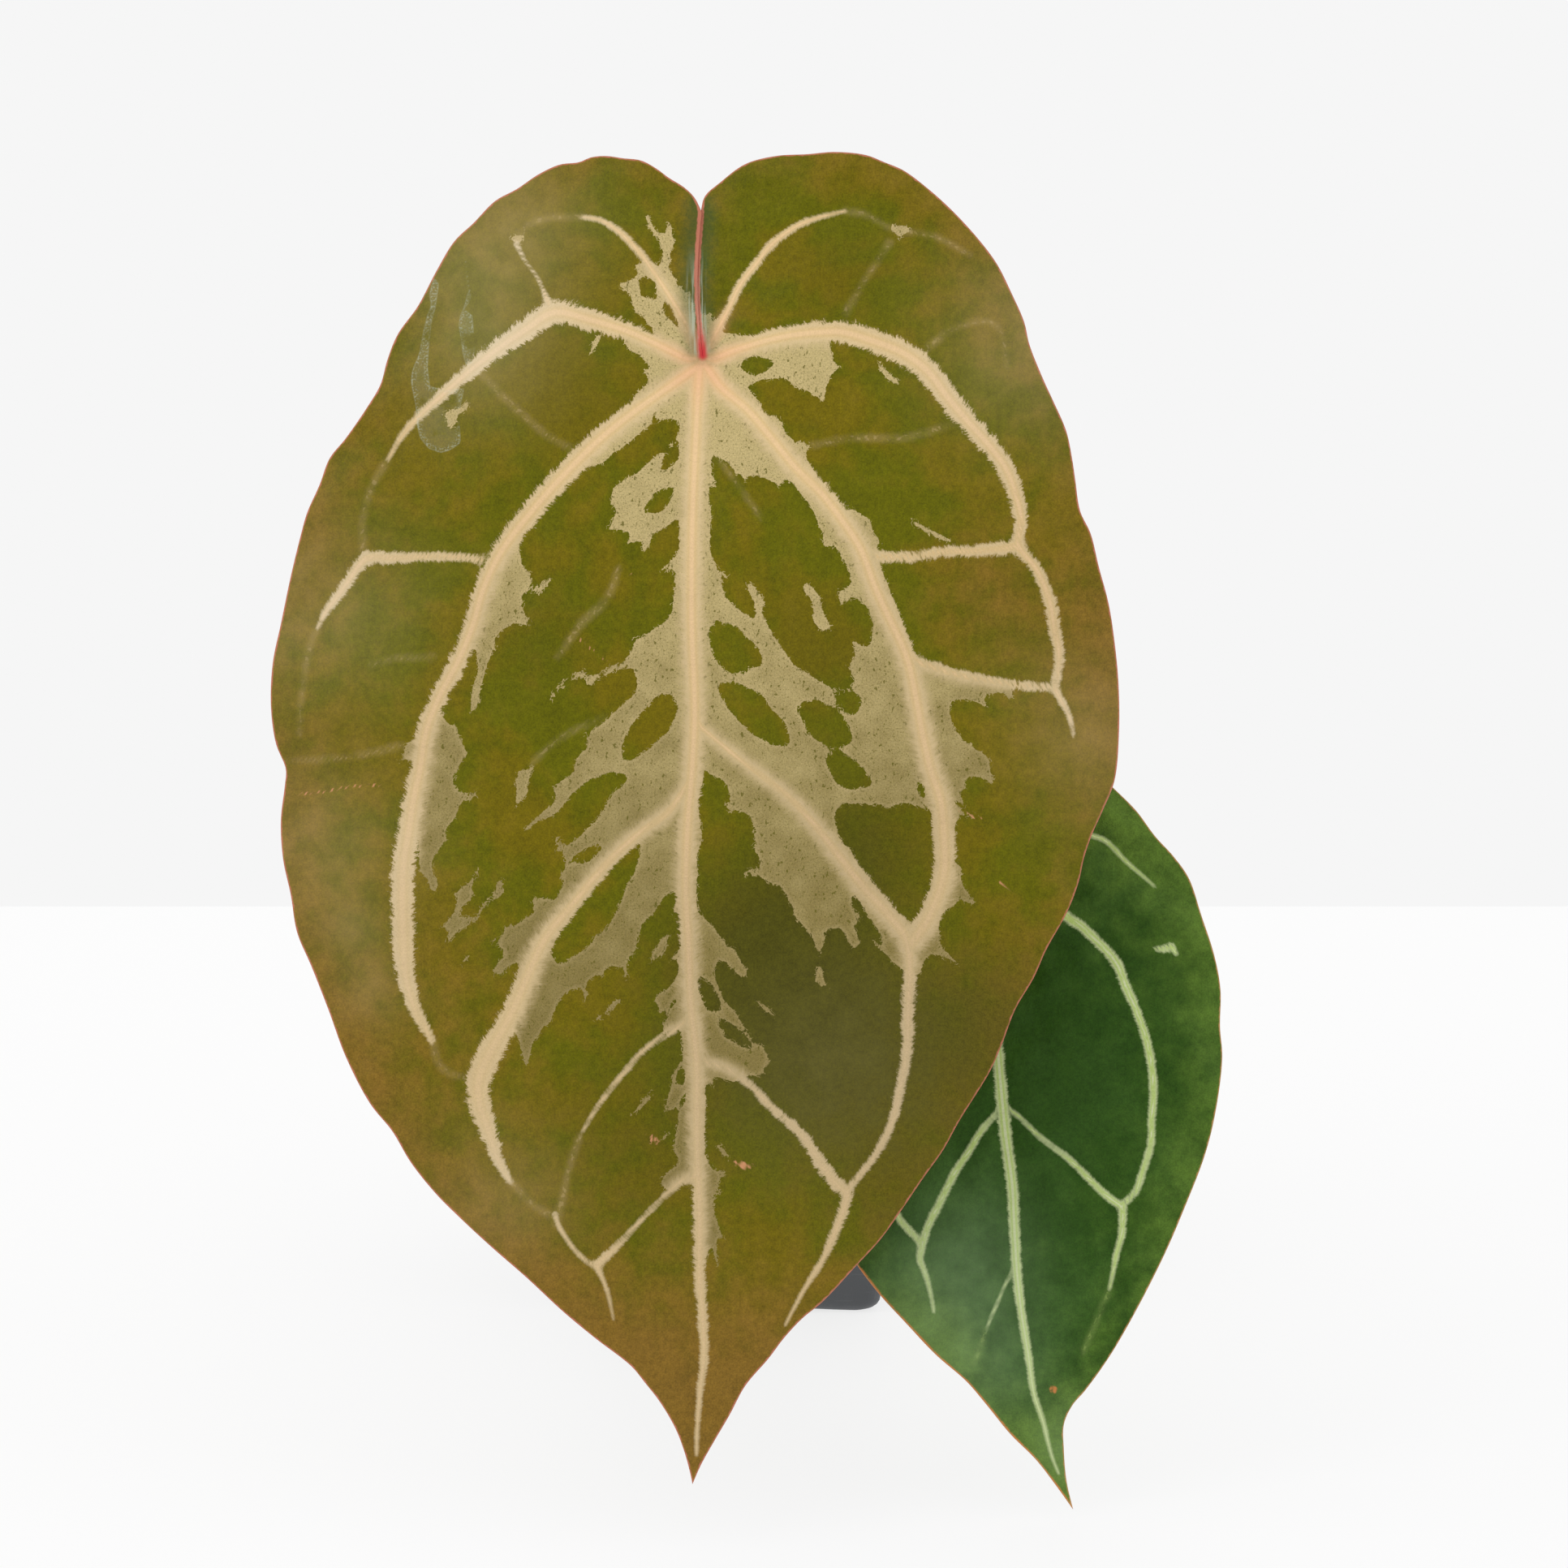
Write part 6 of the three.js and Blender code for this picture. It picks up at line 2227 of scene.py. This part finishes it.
5.8,-78.4 3.5,-74.8 3.3,-73.6
| 21.1,-77 22.6,-76.2 24.9,-75.9 26.9,-76.3 28,-77.4 30.1,-77.9 32.5,-81.5 33.4,-84.7 32.5,-86 30.8,-86.7
28.7,-87 26.6,-86 22.6,-83.3 22.3,-81.2 20.5,-78.1
| 28.7,-75.3 30.1,-74.3 33.7,-73.9 35.4,-76.2 34.6,-78.8 33.4,-79.7 31.8,-79.1 29.2,-76.5
| 27.3,-88.8 28,-87.8 29.2,-87.2 31.1,-87.6 34.9,-90.1 37.7,-93.9 37.3,-95.3 33.2,-96.2 31.1,-95.8 29.4,-94.4
27.1,-90.4
| 47.2,-94.7 47.7,-93.8 49.1,-94.7 49.6,-96.4 49.5,-98.2 48.4,-98 47.6,-96.8
| 30.8,-98.9 36.3,-99 37.3,-99.4 38.4,-98.8 41.1,-99.9 43.9,-98.8 47,-99 48.4,-99.9 50,-99.4 51,-102 51.4,-105.8
51.7,-111 51.4,-115.5 48.4,-123.8 46.7,-126.4 41.5,-121.7 33.9,-112 32.5,-108.9 30.4,-107.5 29.1,-103.4
29,-101.6 29.9,-99.9
| -0.7,-137.1 -1.4,-138.9 -1.1,-140.6 0.7,-144.9 2,-145.3 4.1,-145.1 4.3,-143.9 2.7,-139.9 1.3,-138.2
| 3.1,-147 4.5,-146.7 7.6,-148.6 9.7,-150.3 11,-152.4 10.9,-153.7 9,-153.3 4.8,-151 3.3,-147.9;
22.7,-50.1 23.2,-50 26,-53.4 26.4,-56.4 28.6,-60.2 26.9,-60.5 25.5,-60 24.6,-58.8 24.8,-55 23.9,-53.2 22.2,-51.9
22.7,-51;
26.1,-134.7 26.8,-138.5 27.8,-140.4 24.9,-138.5 25.4,-136.1;
11.9,-143.2 13.4,-143.6 14.9,-145 15.7,-146.2 14.3,-145 13,-144.3;
-7.4,-127.5 -8.4,-128 -9.1,-129.7 -11.2,-132.1 -11.2,-133.5 -12.1,-134.7 -9.8,-132.8 -8.8,-132.7 -7.7,-128.7;
-22.6,4.8 -24.8,0.6 -24.6,2.7 -23.2,5;
38.9,-1.2 41.7,-4.2 43.5,-5.4 43.3,-6.2 41.3,-5 39.7,-3.3;
46.5,-36.3 55.5,-41 52.8,-40.4 46.6,-37.1;
-17.7,-142.6 -19.6,-142.8 -22,-145.8 -24.5,-146.9 -22.8,-147 -20.1,-145 -19.3,-143.6;
-11.1,-162.8 -12.1,-164.9 -13.3,-166.2 -15.7,-168.3 -13.9,-165.8 -13.1,-164.6;
-7.6,-171.6 -8.2,-173 -8.9,-173.9 -8.4,-172.8 -8,-171.7;
3.1,-174.7 4.4,-176.9 5.8,-178 5,-176.2 3.8,-174.8
""")
LARGE_RIBS = read_ribs("""
3.4: 0,1.5 -1.6,-18.5 -2.3,-35.1 -2.5,-57.6 -1.8,-78.8 -3.4,-104.2 -3.8,-118.1 -2.7,-142.6 -1.3,-173.5
-0.7,-204.7 0.2,-221.6 -1,-238;
2.4: -0.6,-1 -16.4,-13 -33.3,-28.8 -45.4,-44.3 -54.5,-67.9 -62.6,-90.7 -66.4,-112.7 -65.9,-137.3 -58.3,-157.3;
2.4: -0.8,0 -16.4,5.6 -33.1,9.9 -51.5,-2.9 -66.6,-17.3 -75.2,-34.6 -80.5,-52.4;
1.7: -1,1.6 -10.3,18 -22.7,30.4 -37.8,29.7;
1.7: -2.4,-94 -15.1,-106.4 -35.1,-129.1 -47,-153.9 -49.7,-164.9 -42.8,-182.7;
1.7: -1.9,-146 -18,-159.3 -27.5,-173.2 -32.6,-192.1;
1.7: -0.6,-181 -14,-191.7 -23.6,-201.4;
2.4: 0.6,-1 15.1,-17.8 31,-36.4 41.8,-58.9 48.6,-83 53.5,-106.4 46.1,-130;
2.4: 0.8,0 13.9,3.6 30.8,5.6 44.5,0.9 58.9,-14.4 69.3,-30.2 76.9,-54 79.2,-67.7;
1.7: 1,1.6 8.3,16 20.7,29 36.5,31.5;
1.7: -1.2,-81 13.5,-93.2 30.1,-110.5 45.9,-130 45.2,-154.3 32,-184.7;
1.7: -1,-156 10.1,-161.1 21.8,-172.3 32,-184.9 26.5,-200.5;
1.2: -48.8,-44.8 -62.1,-44.3 -74.7,-44.6 -85.5,-60.3;
1.2: 38.9,-44.3 53.5,-43.2 70,-41.8;
1.2: 47.2,-67.5 63.7,-71.8 78,-73.3
""")

# ---------------------------------------------------------------- drawn shapes of the small blade

SMALL_LEFT_MARGIN = """
0.1,13 -2.6,17.5 -6.5,21 -13,22 -20.5,19 -28,12.5 -34.5,3 -39.5,-8 -43.2,-20 -45.6,-33 -46.2,-46 -45,-59
-42.5,-71 -38.5,-82 -33.5,-92 -27.8,-100.8 -22.8,-107.3 -17,-113.6 -10,-121 -3,-127.1 1.3,-132.1 7,-139.1
12.8,-144.9 17.6,-151.1 21.3,-156.3
"""
SMALL_RIGHT_MARGIN = """
-0.2,13 3,18 7.5,21 14,21 21.5,16.5 30.7,8 35.7,3 40,-2.8 44.2,-7.4 47.7,-12.4 50.5,-20.7 53.5,-30 54.9,-37.7
54.8,-46.3 55.3,-53.3 53.8,-65.5 51.4,-75.3 46.8,-87.3 42.2,-98 35.3,-111.6 29.6,-121.4 24.1,-129.1 21.1,-132.6
19.2,-136.9 19.2,-142.6 19.8,-149.7 21.3,-156.3
"""
SMALL_MIDRIB = """
0,0 2.3,-27 4.4,-54.8 5.8,-70 7.4,-82 8,-94 8.5,-102 9.6,-112 11,-120.4 12.4,-130 14.4,-136 16.4,-144 18,-148
"""
SMALL_VEINS = (
    Vein(SMALL_MIDRIB, (1.0, 1.1, 1.2, 1.2, 1.4, 1.3, 1.1, 0.9, 0.6, 0.2)),
    *read_veins("""
1.1 1.15 1.1 1.1 0.95 0.9 0.8 0.7: 0,0 8,-6.5 19.8,-21.2 22.8,-23 26,-26 29.6,-29.6 31.6,-32.4 33.2,-36.8
35.2,-41.2 38,-49.2 39.2,-55.2 39.6,-61.2 39.2,-67.6 39,-73.2 37.2,-79.2 35.2,-84.4 32.4,-86.8;
0.5 0.5 0.65 0.75 0.9: 5,-65 7.4,-65.6 14,-71.6 20.4,-76.4 26,-82 30,-85.6 32.4,-87.2;
0.9 0.8 0.7 0.5 0.3: 32.6,-88 32.6,-89.2 32.4,-93.6 31.2,-98 30.2,-103.2 29.6,-106;
0.6 0.55 0.55 0.45 0.2: 0,0 10,1.5 18,0.5 25.4,-2.6 28.4,-3.6 30.8,-5.8 32.8,-8 35.2,-10.2 37.6,-12.2 40,-14.4;
0.6 0.8 0.85 0.9 0.8: 5,-65 4.4,-65.6 2.4,-67.6 0,-70.4 -2,-74 -5.7,-79.6 -9.3,-86.8 -12,-92.3 -13.8,-99.2;
0.7 0.5 0.3: -13.8,-99.2 -12.4,-102.4 -11.4,-106 -10.4,-111.2;
0.8 0.7 0.8 0.9: -13.5,-95.3 -18.1,-90.3 -24,-78 -28,-64 -29.5,-50 -28,-37 -22,-24 -12,-11 0,0;
0.6 0.5 0.2: -0.6,0.4 -16,2 -28,-6 -37,-20;
0.3 0.8 0.9 0.3: 39.6,-28.4 41.5,-28.6 43.6,-27.9 44.9,-29.8;
~0.2 0.1: 29.6,-106 28,-110 23.6,-120.4;
0.5 0.3 0.2 0.3 0.3 0.1: 8.4,-101 6,-104.6 4.4,-108.4 2.8,-112 1.4,-115.6;
~0.25 0.2 0.2: 1.4,-115.6 0,-120 -1.3,-122.7
"""),
)
SMALL_RIBS = read_ribs("""
2.4: 0,1 2.3,-27 4.3,-52.7 7,-81 8.5,-102.3 12,-126.4 14,-135.6 17.6,-146.9;
1.7: 0.5,-0.8 20.2,-20.7 32.9,-35 39.2,-55.5 37.6,-77.5 31.8,-87.5 30,-105.1;
1.7: 0.6,0.4 18,0.5 30,-5.2 42.2,-16.7;
1.7: 4.8,-62 14.1,-71.8 31.8,-87.5;
1.7: -0.5,-0.8 -12,-11 -22,-24 -29.5,-50 -24,-78 -13.5,-95.3;
1.7: -0.6,0.4 -16,2 -28,-6 -37,-20;
1.7: 4.6,-61 -5.7,-79.6 -13.5,-95.3 -11.5,-106.6
""")

LARGE_BLADE = Blade(
    name="blade_large",
    slot=Slot.BLADE_BRONZE,
    finish=BRONZE_LEAF,
    rib_finish=BRONZE_RIB,
    distance=990.0,
    right=-18.0,
    up=94.7,
    bow=14.0,
    bow_centre=-105.0,
    bow_reach=120.0,
    droop=0.0016,
    wave=2.0,
    wave_length=46.0,
    half_width=92.0,
    left_margin=LARGE_LEFT_MARGIN,
    right_margin=LARGE_RIGHT_MARGIN,
    midrib=LARGE_MIDRIB,
    veins=LARGE_VEINS,
    patches=LARGE_PATCHES,
    ribs=LARGE_RIBS,
    bronze=read_zones(
        "-2,-232,30,0.9 88,-70,26,0.5 -72,-155,34,0.5 62,-50,16,0.4 -84,-40,26,0.25 66,12,18,0.2 "
        "-90,-100,26,0.35 -40,-202,24,0.4 60,-146,20,0.3"
    ),
    deep=read_zones(
        "14,-134,26,0.9 28,-160,26,0.6 62,-150,24,0.5 35,-106,20,0.5 -36,-62,16,0.3 -15,-175,22,0.35 "
        "32,18,16,0.25 -30,-6,18,0.25 45,-188,20,0.3 26,-66,18,0.35"
    ),
    sheen=read_zones(
        "-44,28,18,0.25 -50,2,16,0.2 -86,-56,22,0.16 -84,-110,18,0.15 74,4,20,0.22 86,-84,16,0.15 "
        "30,-158,22,0.07 -44,-186,14,0.12 -78,-126,7,0.12 -74,-140,8,0.14"
    ),
    scars=(
        "-12.4,-172.6 -10.8,-172.9 -9.6,-174.4 -11.6,-174.2",
        "6.8,-178.4 9,-178.7 11.2,-179.4 9.6,-180 7.4,-179.3",
        "57,-100.5 59.5,-101.8 61.6,-102.4", "-27.8,-62.2 -24.6,-64.9 -21.5,-67.2",
        "66,-116.5 68.4,-118 70.5,-119.7", "-16,-48.2 -16.3,-48.6",
        "-90,-97 -84,-96.4 -78,-95.2 -71.1,-94.9",
    ),
    drips=read_patches("""
-59.7,17.7 -58.6,16.2 -59.3,11.1 -60.2,7.9 -60.8,2.8 -61.1,-2.3 -60.6,-6.5 -57,-7.5 -53,-7 -53.5,-9.4
-54.3,-13.2 -53.9,-16.4 -53.8,-19 -56,-20.6 -58.3,-21.2 -60.8,-20.2 -62.6,-18 -63.4,-15.1 -63.6,-11 -64.7,-5.5
-64.4,-3 -62.8,0.9 -62,5.4 -61.1,9.2 -60.2,11.4 -60.6,14;
-52.7,22 -52,16.2 -51.6,14.6 -51.4,13 -52,12 -53,10.6 -52.5,10.2 -51.2,9.2 -50.9,6 -50.6,1.5 -51.2,-1.4
-52.5,-1.7 -53.2,0.9 -53.5,3.4 -54.1,7 -53.8,9.2 -53,10.8 -52.6,12.4 -52,14.6 -52.4,16.4
"""),
    slit_line="-0.6,33 -1.4,24 -1.6,15 -1.2,8 -0.5,2",
    slit_bow=-1.05,
    spokes=360,
    rings=96,
    back_step=4,
)
SMALL_BLADE = Blade(
    name="blade_small",
    slot=Slot.BLADE_GREEN,
    finish=GREEN_LEAF,
    rib_finish=GREEN_RIB,
    distance=1017.5,
    right=44.6,
    up=-9.1,
    bow=8.0,
    bow_centre=-70.0,
    bow_reach=85.0,
    droop=0.0022,
    wave=1.2,
    wave_length=34.0,
    half_width=50.0,
    left_margin=SMALL_LEFT_MARGIN,
    right_margin=SMALL_RIGHT_MARGIN,
    midrib=SMALL_MIDRIB,
    veins=SMALL_VEINS,
    patches=(),
    ribs=SMALL_RIBS,
    bronze=read_zones("33,5,20,0.6 52,-30,24,0.3 48,-80,24,0.25 17,-148,16,0.7 -13,-118,12,0.8"),
    deep=read_zones("18,-55,26,0.4 25,-75,20,0.2"),
    sheen=read_zones("-8,-110,18,0.28 4,-126,12,0.14 21,-142,9,0.25 0,-94,14,0.1"),
    scars=(
        "16.3,-128.4 17.3,-128.6", "16.2,-128.9 17.4,-129", "16.5,-129.5 17.1,-129.5",
        "-33.3,-92.1 -27.6,-100.9 -22.6,-107.4 -16.8,-113.7 -9.8,-121.1 -2.8,-127.2 1.5,-132.2 7.2,-139.2 13,-145 "
        "17.8,-151.2 21.2,-156",
    ),
    drips=(),
    slit_line="0,14 0,2",
    slit_bow=0.0,
    spokes=240,
    rings=60,
    back_step=4,
)

STALKS = (
    Stalk(
        name="stalk_large",
        finish=LARGE_STALK_FINISH,
        blade=LARGE_BLADE,
        way=(
            (0, -8.6, 100), (0, -12.6, 102.5), (-1, -19, 114),
            (-3, -42, 158), (-5, -88, 209), (-6, -128, 242),
        ),
        foot_radius=2.9,
        radius=2.0,
        joint_radius=2.7,
        rib_width=3.4,
    ),
    Stalk(
        name="stalk_small",
        finish=SMALL_STALK_FINISH,
        blade=SMALL_BLADE,
        way=(
            (7.8, -2.8, 95), (11.6, -4.3, 97.5), (16.5, -12, 108),
            (26, -44, 142), (40, -92, 161), (51, -128, 161),
        ),
        foot_radius=2.3,
        radius=1.6,
        joint_radius=2.2,
        rib_width=2.4,
        seed=9,
    ),
)
ROOT_WAYS = (
    ((-8.2, -0.8, 88), (-18, -4, 90.5), (-26, -8, 85), (-29, -10, 66)),
    ((-5, 6.5, 87), (-12, 16, 89), (-17, 23, 83), (-19, 26, 64)),
    ((5, 6.5, 89), (13, 16, 92), (21, 23, 86), (24, 26, 66)),
    ((6, -5.6, 86), (14, -15, 88.5), (19, -24, 83), (20, -28, 64)),
)
ROOT_RADII = (2.1, 1.3)
ROOT_SEED = 70
SHEATHS = (
    Sheath("sheath_1", 152, 110, 24, 95, 3),
    Sheath("sheath_2", 48, 96, 32, 98, 8),
)


def build_roots() -> list[bpy.types.Object]:
    """Builds the roots, from the side of the stem down into the mix.

    Returns:
        The roots.
    """
    thick, thin = ROOT_RADII
    return [
        Tube(
            f"root_{number + 1}",
            Slot.ROOT,
            ROOT_FINISH,
            np.array(way, float),
            lambda shares: thick + (thin - thick) * shares**2,
            lambda shares: 0.8 * ease(shares, 0.45, 0.75),
            ROOT_SEED + number,
            sides=24,
            gap=0.9,
            rough=0.07,
        ).build()
        for number, way in enumerate(ROOT_WAYS)
    ]


def main() -> None:
    """Builds the studio and every piece of the plant."""
    logging.basicConfig(level=logging.INFO, format="%(message)s")
    Studio(StudioFinish("floor", tint(124, 124, 124), 0.6, 0.757)).build()
    pot = Pot(POT_FINISH)
    pieces = [pot.build(), *PottingMix(SOIL_FINISH, BARK_FINISH, PUMICE_FINISH, pot).build()]
    pieces += [Stem(STEM_FINISH).build(), *build_roots()]
    paper = SHEATH_FINISH.material()
    pieces += [sheath.build(paper) for sheath in SHEATHS]
    pieces += [stalk.build() for stalk in STALKS]
    for blade in (LARGE_BLADE, SMALL_BLADE):
        pieces += [blade.build(), blade.build_ribs()]
    for piece in pieces:
        LOG.info("built %s: %d faces", piece.name, len(piece.data.polygons))


if __name__ == "__main__":
    main()
